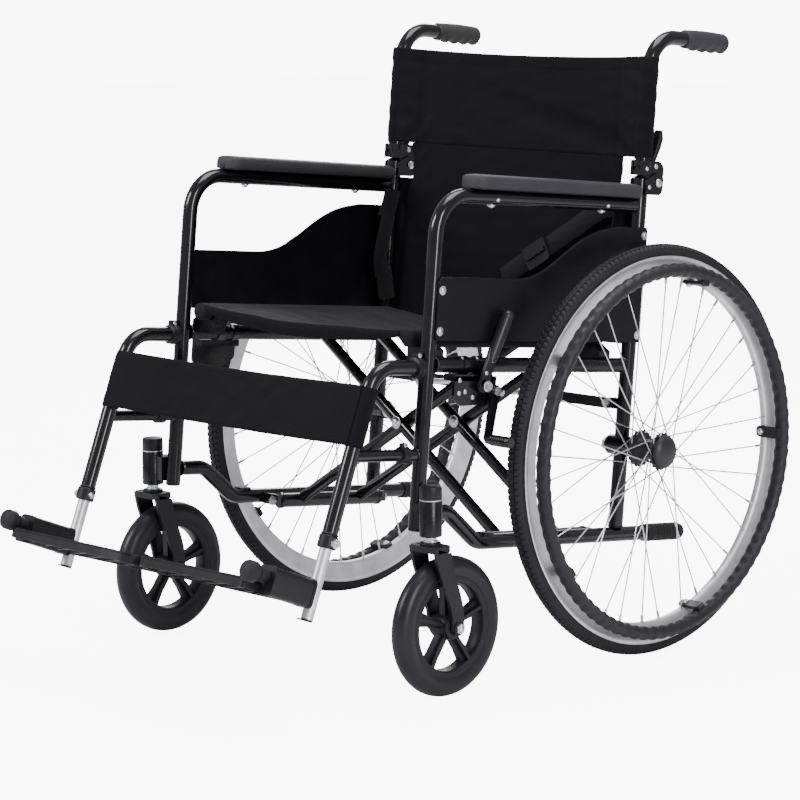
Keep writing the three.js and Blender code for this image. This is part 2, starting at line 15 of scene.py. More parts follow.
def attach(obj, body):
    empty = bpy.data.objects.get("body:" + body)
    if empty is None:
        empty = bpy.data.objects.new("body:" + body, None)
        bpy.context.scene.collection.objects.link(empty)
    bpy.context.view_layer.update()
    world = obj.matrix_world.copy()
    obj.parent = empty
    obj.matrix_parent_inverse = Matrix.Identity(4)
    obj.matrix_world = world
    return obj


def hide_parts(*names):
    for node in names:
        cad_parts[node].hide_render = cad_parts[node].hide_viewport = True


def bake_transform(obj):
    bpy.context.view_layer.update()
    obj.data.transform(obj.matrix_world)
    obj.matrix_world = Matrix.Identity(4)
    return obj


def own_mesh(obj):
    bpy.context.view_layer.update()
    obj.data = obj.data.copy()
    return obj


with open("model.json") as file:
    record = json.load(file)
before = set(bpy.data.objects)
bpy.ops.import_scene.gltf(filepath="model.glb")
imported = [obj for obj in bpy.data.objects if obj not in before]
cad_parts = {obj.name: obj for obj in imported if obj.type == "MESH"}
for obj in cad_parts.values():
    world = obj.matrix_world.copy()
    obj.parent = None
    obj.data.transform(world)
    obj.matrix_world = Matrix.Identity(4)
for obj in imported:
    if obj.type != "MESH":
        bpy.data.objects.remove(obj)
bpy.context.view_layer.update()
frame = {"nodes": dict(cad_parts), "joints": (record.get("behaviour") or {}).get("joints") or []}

JOINTS = {joint["name"]: joint for joint in frame["joints"]}
SIDES = (("left", 1), ("right", -1))

# ---------------------------------------------------------------- spaces
MM = 0.001
AXLE = Vector((0, *JOINTS["left_wheel_spin"]["pos_m"][1:]))
FOLD_AXIS = JOINTS["frame_fold"]["axis"]
PITCH = math.atan2(-FOLD_AXIS[2], FOLD_AXIS[1])
FLIP_AXIS = JOINTS["left_footplate_flip"]["axis"]
FOOT_PITCH = math.atan2(-FLIP_AXIS[2], FLIP_AXIS[1])

LEVEL = Matrix.Translation(AXLE) @ Matrix.Scale(MM, 4)               # level with the floor, at the axle
LEAN = LEVEL @ Matrix.Rotation(-PITCH, 4, "X")                       # leans back with the frame
FOOT_DISTANCE = 50                                                   # joint's point to the leg, along the rod
FOOT_ORIGIN = Vector(JOINTS["left_footplate_flip"]["pos_m"])
FOOT_ORIGIN += FOOT_DISTANCE * MM * Vector(FLIP_AXIS)
FOOT_ORIGIN.x = 0
FOOT = Matrix.Translation(FOOT_ORIGIN) @ Matrix.Scale(MM, 4) @ Matrix.Rotation(-FOOT_PITCH, 4, "X")
MIRROR = {1: Matrix.Identity(4), -1: Matrix.Diagonal((-1, 1, 1, 1))}


def node_box(node, space=LEAN):
    """Lowest and highest corner of a CAD node, in millimetres of that space."""
    matrix = space.inverted()
    points = np.array([matrix @ v.co for v in frame["nodes"][node].data.vertices])
    return Vector(points.min(0)), Vector(points.max(0))


# ---------------------------------------------------------------- driving dimensions, millimetres
TUBE_R = 11
WHEEL_R = AXLE.z / MM
FRAME_X = sum(v.x for v in node_box("left_arm_frame")) / 2
POST_Y = node_box("left_arm_frame")[0].y + TUBE_R
POST_FOOT_Z = node_box("left_arm_frame")[0].z
ARM_Z = node_box("left_arm_frame")[1].z - TUBE_R
SIDE_TUBE_Z = 120
RAIL_Z = node_box("left_lower_rail")[0].z + TUBE_R
RAIL_START_Z = -87
RAIL_END_Y = node_box("left_lower_rail")[1].y
CANE_FOOT_Z = 402
HANDLE_Z = 608
HANDLE_END_Y = 166
HINGE_Y, HINGE_Z = 20, 392
LATCH_Y, LATCH_Z = 18, 416
RAIL_X = 221
SEAT_RAIL_Z = 154
SEAT_RAIL_Y = (node_box("left_seat_rail")[0].y, node_box("left_seat_rail")[1].y)
FOLD_LOW_Z = -137
FOLD_MID_Z = (FOLD_LOW_Z + SEAT_RAIL_Z) / 2
BRACE_Y = (-202, -78)
BRACE_OFFSET = 7.2
LEG_TOP_Y, LEG_TOP_Z = -525, 116
LEG_SLANT = FOOT_PITCH - PITCH
FOOT_PIVOT_Z = -189
LEG_LENGTH = (LEG_TOP_Z - FOOT_PIVOT_Z) / math.cos(LEG_SLANT) - 61
WHEEL_X = JOINTS["left_wheel_spin"]["pos_m"][0] / MM
TYRE_R, KNOBS = 14.5, 200
RIM_WELL_R = 257
SPOKES = 36
HAND_RIM_R, HAND_RIM_X = 268, 350.5
HAND_RIM_TUBE_R, HAND_RIM_WAVES, RIM_TABS = 10.6, 84, 5
CASTER_SPOKES = 5
CASTER_X = JOINTS["left_caster_spin"]["pos_m"][0] / MM
CASTER_R = JOINTS["left_caster_spin"]["pos_m"][2] / MM
CASTER_Y = (JOINTS["left_caster_spin"]["pos_m"][1] - AXLE.y) / MM
STEM_Y = (JOINTS["left_caster_swivel"]["pos_m"][1] - AXLE.y) / MM
BRAKE_PIN = (-334, 93)
SHOE_PIN = (-316, 86)
LINK_PIN = (246.6, -20.5, 62)
SCREW_R = 4.2


# ---------------------------------------------------------------- camera, lights and floor
AZIMUTH, ELEVATION = 45.4, 8.41                                      # degrees, from the front towards +X
DISTANCE = 4.732
LENS, SENSOR = 142.1, 36
AIM_FORWARD, AIM_HEIGHT = 0.2063, 0.3672                             # ahead of the rear axle, above the floor
FLOOR_REACH = 14
FLOOR_GLOW = 8


def camera():
    azimuth, elevation = math.radians(AZIMUTH), math.radians(ELEVATION)
    back = Vector((math.sin(azimuth) * math.cos(elevation),
                   -math.cos(azimuth) * math.cos(elevation), math.sin(elevation)))
    target = Vector((0, AXLE.y - AIM_FORWARD, AIM_HEIGHT))
    data = bpy.data.cameras.new("camera")
    data.sensor_width = SENSOR
    data.lens = LENS
    data.clip_end = 60
    eye = bpy.data.objects.new("camera", data)
    eye.location = target + DISTANCE * back
    eye.rotation_euler = (-back).to_track_quat("-Z", "Y").to_euler()
    bpy.context.scene.collection.objects.link(eye)
    bpy.context.scene.camera = eye


def area_light(name, place, target, size, power):
    data = bpy.data.lights.new(name, "AREA")
    data.shape = "RECTANGLE"
    data.size, data.size_y = size
    data.energy = power
    lamp = bpy.data.objects.new(name, data)
    lamp.location = place
    lamp.rotation_euler = (Vector(target) - Vector(place)).to_track_quat("-Z", "Y").to_euler()
    bpy.context.scene.collection.objects.link(lamp)


def feed(tree, node, inputs):
    """Sets each named input to a value, or links it to the socket given for it."""
    for name, given in inputs.items():
        if isinstance(given, bpy.types.NodeSocket):
            tree.links.new(given, node.inputs[name])
        else:
            node.inputs[name].default_value = given


def add_node(tree, kind, inputs=None, **settings):
    """A shader node with its settings and inputs."""
    node = tree.nodes.new("ShaderNode" + kind)
    for setting, value in settings.items():
        setattr(node, setting, value)
    feed(tree, node, inputs or {})
    return node


def studio():
    """Softboxes round the chair. World and floor are lifted to white only where the camera sees them."""
    centre = (0, 0, 0.45)
    area_light("key_softbox", (-1.4, -2.8, 2.4), centre, (1.1, 1.5), 95)
    area_light("side_softbox", (2.9, -0.9, 1.5), centre, (0.7, 2.2), 60)
    area_light("top_softbox", (0.3, 0.3, 3.2), centre, (2.0, 2.0), 80)
    area_light("back_softbox", (-2.2, 2.4, 1.8), centre, (1.2, 2.0), 45)
    world = bpy.data.worlds.new("studio")
    world.use_nodes = True
    tree = world.node_tree
    background = tree.nodes["Background"]
    feed(tree, background, {"Color": (0.95, 0.95, 1.0, 1), "Strength": 0.5})
    white = add_node(tree, "Background", {"Color": (1, 1, 1, 1), "Strength": 9})
    seen = add_node(tree, "LightPath").outputs["Is Camera Ray"]
    mix = add_node(tree, "MixShader", {"Fac": seen, 1: background.outputs[0], 2: white.outputs[0]})
    feed(tree, tree.nodes["World Output"], {"Surface": mix.outputs["Shader"]})
    bpy.context.scene.world = world

    mesh = bpy.data.meshes.new("floor")
    corners = [(x * FLOOR_REACH, y * FLOOR_REACH, 0) for x, y in ((-1, -1), (1, -1), (1, 1), (-1, 1))]
    mesh.from_pydata(corners, [], [(0, 1, 2, 3)])
    floor = bpy.data.objects.new("floor", mesh)
    bpy.context.scene.collection.objects.link(floor)
    paper = speckled("floor_paper", (0.86, 0.86, 0.87), 0.9, grain=40, depth=0, spread=0.01)
    tree = paper.node_tree
    seen = add_node(tree, "LightPath").outputs["Is Camera Ray"]
    strength = add_node(tree, "Math", {0: seen, 1: FLOOR_GLOW}, operation="MULTIPLY")
    emission = add_node(tree, "Emission", {"Strength": strength.outputs["Value"]})
    glow = add_node(tree, "AddShader", {0: tree.nodes["Principled BSDF"].outputs["BSDF"],
                                        1: emission.outputs["Emission"]})
    feed(tree, tree.nodes["Material Output"], {"Surface": glow.outputs["Shader"]})
    mesh.materials.append(paper)


# ---------------------------------------------------------------- materials
def principled(name):
    material = bpy.data.materials.new(name)
    material.use_nodes = True
    tree = material.node_tree
    return material, tree, tree.nodes["Principled BSDF"]


def object_coords(tree, scale=(1, 1, 1)):
    coords = add_node(tree, "TexCoord").outputs["Object"]
    return add_node(tree, "Mapping", {"Scale": scale, "Vector": coords}).outputs["Vector"]


def noise_node(tree, vector, scale, detail=4, rough=0.55):
    return add_node(tree, "TexNoise", {"Scale": scale, "Detail": detail, "Roughness": rough,
                                       "Vector": vector}).outputs["Fac"]


def ramp(tree, value, low, high, start=0.3, end=0.7):
    node = add_node(tree, "ValToRGB", {"Fac": value})
    for element, position, color in zip(node.color_ramp.elements, (start, end), (low, high)):
        element.position = position
        element.color = (*color, 1) if hasattr(color, "__len__") else (color, color, color, 1)
    return node.outputs["Color"]


def bump(tree, height, strength, distance, after=None):
    inputs = {"Strength": strength, "Distance": distance, "Height": height}
    if after is not None:
        inputs["Normal"] = after
    return add_node(tree, "Bump", inputs).outputs["Normal"]


def shade(color, factor):
    return tuple(c * factor for c in color)


def speckled(name, color, roughness, grain=300, depth=0.2, patch=9, spread=0.25, coat=0.0, specular=0.5):
    """Colour and roughness vary softly over the surface, with a fine grain in the bump."""
    material, tree, shader = principled(name)
    vector = object_coords(tree)
    clouds, blotches = noise_node(tree, vector, patch), noise_node(tree, vector, patch * 4, 6)
    feed(tree, shader, {
        "Base Color": ramp(tree, clouds, shade(color, 1 - spread), shade(color, 1 + spread)),
        "Roughness": ramp(tree, blotches, max(roughness - 0.06, 0.03), roughness + 0.08),
        "Normal": bump(tree, noise_node(tree, vector, grain, 3), depth, 0.0004),
        "Coat Weight": coat, "Coat Roughness": 0.08, "Specular IOR Level": specular})
    return material


def brushed(name, color, roughness, stretch):
    """Metal with long fine scratches along one axis and a cloudy tarnish."""
    material, tree, shader = principled(name)
    fine = noise_node(tree, object_coords(tree, stretch), 60, 5)
    cloud = noise_node(tree, object_coords(tree), 25, 4)
    feed(tree, shader, {"Base Color": ramp(tree, cloud, shade(color, 0.72), color),
                        "Roughness": ramp(tree, fine, roughness - 0.08, roughness + 0.12),
                        "Normal": bump(tree, fine, 0.12, 0.0003), "Metallic": 1})
    return material


def woven(name, color, pitch, sheen=0.25, axes=("X", "Z"), depth=0.5, specular=0.25):
    """Plain weave: two sets of threads, one over the other, with dust and fading in soft patches."""
    material, tree, shader = principled(name)
    vector = object_coords(tree)
    settings = {"Scale": 2 * math.pi / (20 * pitch), "Distortion": 0.6, "Detail": 2, "Detail Scale": 3,
                "Vector": vector}
    threads = [add_node(tree, "TexWave", settings, bands_direction=axis).outputs["Fac"] for axis in axes]
    weave = add_node(tree, "Math", dict(enumerate(threads)), operation="MULTIPLY").outputs["Value"]
    patches = noise_node(tree, vector, 7, 5, 0.6)
    blend = add_node(tree, "Mix", data_type="RGBA", blend_type="MULTIPLY")
    feed(tree, blend, {"Factor": 0.5, 6: ramp(tree, patches, shade(color, 0.65), shade(color, 1.35)),
                       7: ramp(tree, weave, 0.55, 1.0, 0.0, 1.0)})
    crumple = bump(tree, noise_node(tree, vector, 38, 4, 0.6), 0.25, 0.002)
    feed(tree, shader, {"Base Color": blend.outputs[2], "Roughness": ramp(tree, patches, 0.78, 0.92),
                        "Normal": bump(tree, weave, depth, 0.0003, crumple), "Sheen Weight": sheen,
                        "Sheen Roughness": 0.5, "Specular IOR Level": specular})
    return material


def make_materials():
    return {
        "paint": speckled("black_powder_coat", (0.0038, 0.0037, 0.005), 0.16, grain=900, depth=0.08,
                          coat=0.2, specular=0.42),
        "arm_paint": speckled("black_powder_coat_semi", (0.0045, 0.0044, 0.006), 0.26, grain=900, depth=0.1,
                              specular=0.4),
        "steel": brushed("zinc_steel", (0.82, 0.83, 0.86), 0.3, (1, 1, 22)),
        "slider": brushed("slider_steel", (0.95, 0.95, 0.97), 0.4, (1, 1, 22)),
        "rim": brushed("rim_aluminium", (0.97, 0.965, 0.98), 0.5, (40, 4, 4)),
        "spoke": brushed("spoke_steel", (0.85, 0.85, 0.87), 0.25, (1, 6, 6)),
        "plastic": speckled("black_plastic", (0.0085, 0.0082, 0.0115), 0.4, grain=700, depth=0.25,
                            specular=0.3),
        "hub": speckled("hub_plastic", (0.02, 0.0195, 0.024), 0.4, grain=700, depth=0.25, specular=0.4),
        "lever": speckled("lever_plastic", (0.013, 0.0127, 0.016), 0.36, grain=600, depth=0.2, specular=0.4),
        "guard": speckled("guard_plastic", (0.0045, 0.0043, 0.006), 0.36, grain=260, depth=0.4, spread=0.15,
                          specular=0.22),
        "hand_rim": speckled("hand_rim_plastic", (0.017, 0.0165, 0.021), 0.46, grain=500, depth=0.3,
                             specular=0.3),
        "foam": speckled("grey_foam", (0.031, 0.0305, 0.037), 0.6, grain=420, depth=0.5, patch=16,
                         spread=0.12,
                         specular=0.3),
        "tyre": speckled("tyre_rubber", (0.011, 0.0105, 0.0145), 0.6, grain=320, depth=0.4, patch=14,
                         specular=0.3),
        "caster_tyre": speckled("caster_rubber", (0.010, 0.0097, 0.0135), 0.36, grain=240, depth=0.2,
                                specular=0.32),
        "fabric": woven("black_nylon", (0.0058, 0.0054, 0.0082), 0.0009, sheen=0.02, specular=0.12),
        "seat_fabric": woven("seat_nylon", (0.011, 0.0105, 0.0145), 0.0009, axes=("X", "Y"), sheen=0.05,
                             specular=0.14),
        "webbing": woven("webbing", (0.009, 0.0086, 0.0115), 0.0022, axes=("Y", "Z"), depth=0.8, sheen=0.05,
                         specular=0.16),
        "thread": speckled("stitching", (0.009, 0.0086, 0.012), 0.8, grain=2500, depth=0.6, specular=0.2),
    }


# ---------------------------------------------------------------- shapes, in millimetres
def from_lists(points, faces):
    shape = bmesh.new()
    verts = [shape.verts.new(p) for p in points]
    for face in faces:
        shape.faces.new([verts[i] for i in face])
    return shape


def skin(points, around, ring=False):
    """Quads over rows of points that each close; the rows join in a ring, or end in flat caps."""
    rows = len(points) // around
    faces = []
    for i in range(rows if ring else rows - 1):
        j = (i + 1) % rows
        faces += [(i * around + k, i * around + (k + 1) % around, j * around + (k + 1) % around,
                   j * around + k)
                  for k in range(around)]
    if not ring:
        faces += [tuple(range(around)), tuple(range(len(points) - around, len(points)))]
    return from_lists(points, faces)


def bezier(p, q, r, s, steps):
    """Points on a flat curve from p to just before s."""
    points = []
    for k in range(steps):
        t = k / steps
        w = ((1 - t) ** 3, 3 * t * (1 - t) ** 2, 3 * t * t * (1 - t), t ** 3)
        points.append(tuple(sum(a * b[i] for a, b in zip(w, (p, q, r, s))) for i in (0, 1)))
    return points


def bevelled(shape, width):
    """Rounds the edges that turn by more than 30 degrees."""
    sharp = [e for e in shape.edges if len(e.link_faces) == 2 and e.calc_face_angle(0) > math.radians(30)]
    bmesh.ops.bevel(shape, geom=sharp, offset=width, segments=2, profile=0.6, affect="EDGES",
                    clamp_overlap=True)
    return shape


def bent_path(corners, radius, steps=10):
    """The corners joined by straight runs and arcs of the radius."""
    points = [Vector(c) for c in corners]
    stations = [points[0]]
    for before, corner, after in zip(points, points[1:], points[2:]):
        u, v = (corner - before).normalized(), (after - corner).normalized()
        angle = u.angle(v)
        start = corner - u * radius * math.tan(angle / 2)
        inward = (v - u * u.dot(v)).normalized()
        count = max(3, math.ceil(steps * angle / (math.pi / 2)))
        for k in range(count + 1):
            turn = angle * k / count
            stations.append(start + u * radius * math.sin(turn) + inward * radius * (1 - math.cos(turn)))
    stations.append(points[-1])
    return stations


def sweep(stations, section, scales=None, first_side=(1, 0, 0)):
    """A closed section carried along stations without twist, with flat ends."""
    stations = [Vector(p) for p in stations]
    scales = scales or [1] * len(stations)
    side = Vector(first_side)
    points = []
    for i, place in enumerate(stations):
        ahead = stations[min(i + 1, len(stations) - 1)] - stations[max(i - 1, 0)]
        ahead.normalize()
        side = (side - ahead * side.dot(ahead)).normalized()
        up = ahead.cross(side)
        points += [place + scales[i] * (a * side + b * up) for a, b in section]
    return skin(points, len(section))


def circle(radius, sides, flat=1.0):
    turn = 2 * math.pi / sides
    return [(radius * math.cos(i * turn), flat * radius * math.sin(i * turn)) for i in range(sides)]


def tube(corners, radius=TUBE_R, bend=0, sides=28, flat=1.0, chamfer=1.0, first_side=(1, 0, 0)):
    """A round bar along the corners, with chamfered ends."""
    stations = bent_path(corners, bend) if bend else [Vector(c) for c in corners]
    ends = [(stations[0], stations[1]), (stations[-1], stations[-2])]
    inner = [a + (b - a).normalized() * chamfer for a, b in ends]
    route = [stations[0], inner[0], *stations[1:-1], inner[1], stations[-1]]
    scales = [1 - chamfer / radius, *[1] * (len(route) - 2), 1 - chamfer / radius]
    if abs((stations[1] - stations[0]).normalized().dot(Vector(first_side))) > 0.9:
        first_side = (0, 0, 1)
    return sweep(route, circle(radius, sides, flat), scales, first_side)


TURNS = {"X": Matrix.Rotation(math.pi / 2, 4, "Y"), "Y": Matrix.Rotation(-math.pi / 2, 4, "X"),
         "Z": Matrix.Identity(4)}


def stood(shape, centre, axis):
    """Lays a shape drawn along +Z along the axis, and moves it to the centre."""
    bmesh.ops.transform(shape, matrix=Matrix.Translation(Vector(centre)) @ TURNS[axis], verts=shape.verts)
    return shape


def lathe(profile, centre=(0, 0, 0), axis="X", segments=64, closed=False):
    """Turns [radius, height] points about the axis. An open profile starts and ends on the axis."""
    shape = bmesh.new()
    rings = []
    for radius, height in profile:
        if radius < 1e-6:
            rings.append([shape.verts.new((0, 0, height))])
            continue
        turn = 2 * math.pi / segments
        rings.append([shape.verts.new((radius * math.cos(i * turn), radius * math.sin(i * turn), height))
                      for i in range(segments)])
    pairs = list(zip(rings, rings[1:])) + ([(rings[-1], rings[0])] if closed else [])
    for a, b in pairs:
        for i in range(segments):
            j = (i + 1) % segments
            corners = [a[i % len(a)], a[j % len(a)], b[j % len(b)], b[i % len(b)]]
            unique = list(dict.fromkeys(corners))
            if len(unique) > 2:
                shape.faces.new(unique)
    return stood(shape, centre, axis)


def disc_profile(radius, low, high, edge=1.0):
    """A solid round plug from low to high with rounded rims."""
    return [(0, low), (radius - edge, low), (radius - edge * 0.3, low + edge * 0.3), (radius, low + edge),
            (radius, high - edge), (radius - edge * 0.3, high - edge * 0.3), (radius - edge, high), (0, high)]


def plug(centre, radius, low, high, axis="X", edge=1.0, segments=32):
    return lathe(disc_profile(radius, low, high, edge), centre, axis, segments)


def ball(centre, radius, rings=14, segments=28):
    profile = [(radius * math.sin(math.pi * i / rings), -radius * math.cos(math.pi * i / rings))
               for i in range(rings + 1)]
    profile[0], profile[-1] = (0, profile[0][1]), (0, profile[-1][1])
    return lathe(profile, centre, "Z", segments)


def slab(outline, low, high, plane, bevel):
    """A flat outline extruded across its plane from low to high."""
    places = {"YZ": lambda u, v, w: (w, u, v), "XY": lambda u, v, w: (u, v, w), "XZ": lambda u, v,
              w: (u, w, v)}
    n = len(outline)
    points = [places[plane](u, v, w) for w in (low, high) for u, v in outline]
    faces = [(i, (i + 1) % n, n + (i + 1) % n, n + i) for i in range(n)]
    faces += [tuple(range(n)), tuple(range(n, 2 * n))]
    return bevelled(from_lists(points, faces), bevel)


def box(low, high, bevel):
    outline = [(low[1], low[2]), (high[1], low[2]), (high[1], high[2]), (low[1], high[2])]
    return slab(outline, low[0], high[0], "YZ", bevel)


def rounded(corners, radius, steps=5):
    """A closed outline with its corners rounded; radius may be one value or one per corner."""
    radii = radius if hasattr(radius, "__len__") else [radius] * len(corners)
    outline = []
    for i, corner in enumerate(corners):
        corner = Vector(corner)
        before, after = Vector(corners[i - 1]), Vector(corners[(i + 1) % len(corners)])
        if radii[i] <= 0:
            outline.append(tuple(corner))
            continue
        a = corner + (before - corner).normalized() * radii[i]
        b = corner + (after - corner).normalized() * radii[i]
        for k in range(steps + 1):
            t = k / steps
            outline.append(tuple((1 - t) ** 2 * a + 2 * t * (1 - t) * corner + t * t * b))
    return outline


def hex_nut(centre, radius, low, high, axis="X"):
    return stood(slab(circle(radius, 6), low, high, "XY", 0.6), centre, axis)


def dome_head(centre, radius, height, direction=1, axis="X"):
    """A screw's domed head standing on the plane through centre."""
    profile = [(radius * math.cos(a), direction * height * math.sin(a))
               for a in (math.pi / 2 * i / 6 for i in range(7))]
    profile[-1] = (0, direction * height)
    return lathe([(0, 0), *profile], centre, axis, 24)


def placed(name, shapes, look, body=None, space=LEAN, sharp=38):
    """Gathers closed shapes into one object in the row frame, riding on the body."""
    whole = bmesh.new()
    for shape in shapes:
        mesh = bpy.data.meshes.new("part")
        shape.to_mesh(mesh)
        shape.free()
        whole.from_mesh(mesh)
        bpy.data.meshes.remove(mesh)
    bmesh.ops.transform(whole, matrix=space, verts=whole.verts)
    bmesh.ops.recalc_face_normals(whole, faces=whole.faces)
    mesh = bpy.data.meshes.new(name)
    whole.to_mesh(mesh)
    whole.free()
    for polygon in mesh.polygons:
        polygon.use_smooth = True
    mesh.set_sharp_from_angle(angle=math.radians(sharp))
    mesh.materials.append(LOOK[look])
    piece = bpy.data.objects.new(name, mesh)
    bpy.context.scene.collection.objects.link(piece)
    if body:
        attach(piece, body)
    return piece


def build(side, name, shapes, body, look, space=LEAN, replaces=(), sharp=38):
    """One rigid piece of a side: drawn on the left, mirrored for the right."""
    label, sign = side
    piece = placed(f"{label}_{name}", shapes, look, f"{label}_{body}", space @ MIRROR[sign], sharp)
    if replaces:
        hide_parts(*[f"{label}_{node}" for node in replaces])
    return piece


LOOK = make_materials()
camera()
studio()


# ---------------------------------------------------------------- side frame
def screw(y, z, x):
    """A screw's domed head and washer standing out of the plane at x."""
    return [plug((0, y, z), SCREW_R + 2.2, x, x + 0.9, edge=0.3), dome_head((x + 0.9, y, z), SCREW_R, 2.6)]


def weld(centre, radius, axis):
    """The small bead round a tube where it meets another."""
    profile = [(radius - 0.5, -1.6), (radius + 1.0, -1.0), (radius + 1.5, 0), (radius + 1.0, 1.0),
               (radius - 0.5, 1.6)]
    return lathe(profile, centre, axis, 28, closed=True)


def side_frame(side):
    """Arm tube, S-bent lower rail with its tipping lever, side tube, and what is fixed to them."""
    arm = [(FRAME_X, POST_Y, POST_FOOT_Z), (FRAME_X, POST_Y, ARM_Z), (FRAME_X, -TUBE_R - 1, ARM_Z)]
    build(side, "arm_tube", [tube(arm, TUBE_R, 56, 36)], "frame", "paint", replaces=["arm_frame"])
    plug_low = POST_FOOT_Z - 0.4
    build(side, "post_plug", [plug((FRAME_X, POST_Y, 0), 9.6, plug_low, POST_FOOT_Z + 6, "Z")],
          "frame", "plastic")

    front = POST_Y + TUBE_R
    rail_path = [(FRAME_X, front, RAIL_START_Z), (FRAME_X, -365, RAIL_START_Z), (FRAME_X, -300, RAIL_Z),
                 (FRAME_X, RAIL_END_Y - 3, RAIL_Z)]
    sleeve_low, sleeve_high = node_box("left_cross_brace")[0].y, -25
    lugs = [box((RAIL_X - 8, y, RAIL_Z - 10), (FRAME_X, y + 8, RAIL_Z + 6), 1.5)
            for y in (sleeve_low - 9, sleeve_high + 1)]
    rod = tube([(RAIL_X, sleeve_low - 9, FOLD_LOW_Z), (RAIL_X, sleeve_high + 9, FOLD_LOW_Z)], 6, sides=20)
    tab = box((FRAME_X - 7, -292, RAIL_Z + 9), (FRAME_X + 7, -270, RAIL_Z + 14), 1)
    build(side, "lower_rail_tube", [tube(rail_path, TUBE_R, 35, 32), rod, tab, *lugs,
                                    weld((FRAME_X, front + 1, RAIL_START_Z), TUBE_R, "Y")],
          "frame", "paint", replaces=["lower_rail"])
    rod_ends = [hex_nut((RAIL_X, y, FOLD_LOW_Z), 7.5, 0, 5, "Y") for y in (sleeve_low - 14, sleeve_high + 9)]
    build(side, "hinge_rod_nuts", rod_ends, "frame", "steel")

    cap_profile = [(11.2, 0), (13, 0.6), (13, 10), (13.6, 11), (13.6, 14), (13, 15), (13, 78), (11.5, 83),
                   (7, 85.5),
                   (0, 86), (0, 84), (11.2, 82)]
    tip_cap = lathe(cap_profile, (FRAME_X, RAIL_END_Y - 84, RAIL_Z), "Y", 40, closed=True)
    ribs = [lathe([(12.8, h), (13.5, h + 0.8), (13.5, h + 2), (12.8, h + 2.8)],
                  (FRAME_X, RAIL_END_Y - 84, RAIL_Z),
                  "Y", 40, closed=True) for h in range(22, 76, 7)]
    build(side, "tipping_lever_cap", [tip_cap, *ribs], "frame", "tyre")

    high = node_box("left_side_tube")[1]
    pipe = tube([(FRAME_X, front, SIDE_TUBE_Z), (FRAME_X, -TUBE_R, SIDE_TUBE_Z)], sides=32)
    saddles = []
    for y in (-410, -58):
        wall = [(RAIL_X - 15, SIDE_TUBE_Z + 2), (FRAME_X - 6, SIDE_TUBE_Z + 2),
                (FRAME_X - 6, SIDE_TUBE_Z + 20),
                (RAIL_X + 15, high.z), *[(RAIL_X + 12.4 * math.cos(a), SEAT_RAIL_Z + 12.4 * math.sin(a))
                                         for a in (-math.pi * k / 10 for k in range(1, 10))],
                                         (RAIL_X - 15, high.z)]
        saddles.append(slab(wall, y, y + 24, "XZ", 0.8))
    build(side, "side_tube_bar", [pipe, *saddles, weld((FRAME_X, front + 1, SIDE_TUBE_Z), TUBE_R, "Y"),
                                  weld((FRAME_X, -TUBE_R - 1, SIDE_TUBE_Z), TUBE_R, "Y")],
          "frame", "arm_paint", replaces=["side_tube"])
    rear_post(side)
    arm_pad(side)
    guard(side)
    legrest(side)
    brake_mount(side)
    caster_housing(side)


def rear_post(side):
    """Rear post with the axle sleeve and the fork of the back's hinge."""
    post = tube([(FRAME_X, 0, RAIL_Z + TUBE_R), (FRAME_X, 0, CANE_FOOT_Z - 4)], sides=32)
    sleeve = tube([(FRAME_X - 22, 0, 0), (FRAME_X + 25, 0, 0)], 15, sides=32)
    lug = box((LINK_PIN[0] - 6, -13, LINK_PIN[2] - 8), (FRAME_X + 2, -3, LINK_PIN[2] + 8), 1.5)
    outline = rounded([(-6, 374), (28, 374), (32, 382), (32, 402), (20, 408), (-6, 396)], [2, 6, 4, 6, 6, 3])
    cheeks = [slab(outline, x, x + 3, "YZ", 0.7) for x in (FRAME_X - 16, FRAME_X + 13)]
    saddle = box((FRAME_X - 15, -6, 374), (FRAME_X + 15, 9, 378), 0.8)
    build(side, "rear_post_tube", [post, sleeve, lug, *cheeks, saddle,
                                   weld((FRAME_X, 0, RAIL_Z + TUBE_R + 1), TUBE_R, "Z"),
                                   weld((FRAME_X, -1, ARM_Z), TUBE_R, "Y")],
          "frame", "paint", replaces=["rear_post"])
    axle = tube([(FRAME_X - 33, 0, 0), (WHEEL_X + 24, 0, 0)], 6, sides=20)
    nuts = [hex_nut((0, 0, 0), 10.5, FRAME_X - 31, FRAME_X - 23),
            plug((0, 0, 0), 12.5, FRAME_X - 23.6, FRAME_X - 22.4)]
    link_bolt = [tube([(LINK_PIN[0], -3, LINK_PIN[2]), (LINK_PIN[0], -27, LINK_PIN[2])], 4, sides=18),
                 hex_nut((LINK_PIN[0], 0, LINK_PIN[2]), 6.5, -29, -24.5, "Y")]
    hinge = [tube([(FRAME_X - 18, HINGE_Y, HINGE_Z), (FRAME_X + 18, HINGE_Y, HINGE_Z)], 4, sides=18),
             dome_head((FRAME_X + 17.5, HINGE_Y, HINGE_Z), 6.5, 3.4),
             dome_head((FRAME_X - 17.5, HINGE_Y, HINGE_Z), 6.5, 3.4, -1)]
    rivet = dome_head((FRAME_X + 16, 2, 385), 3.2, 1.6)
    build(side, "axle_and_bolts", [axle, *nuts, *link_bolt, *hinge, rivet], "frame", "steel")


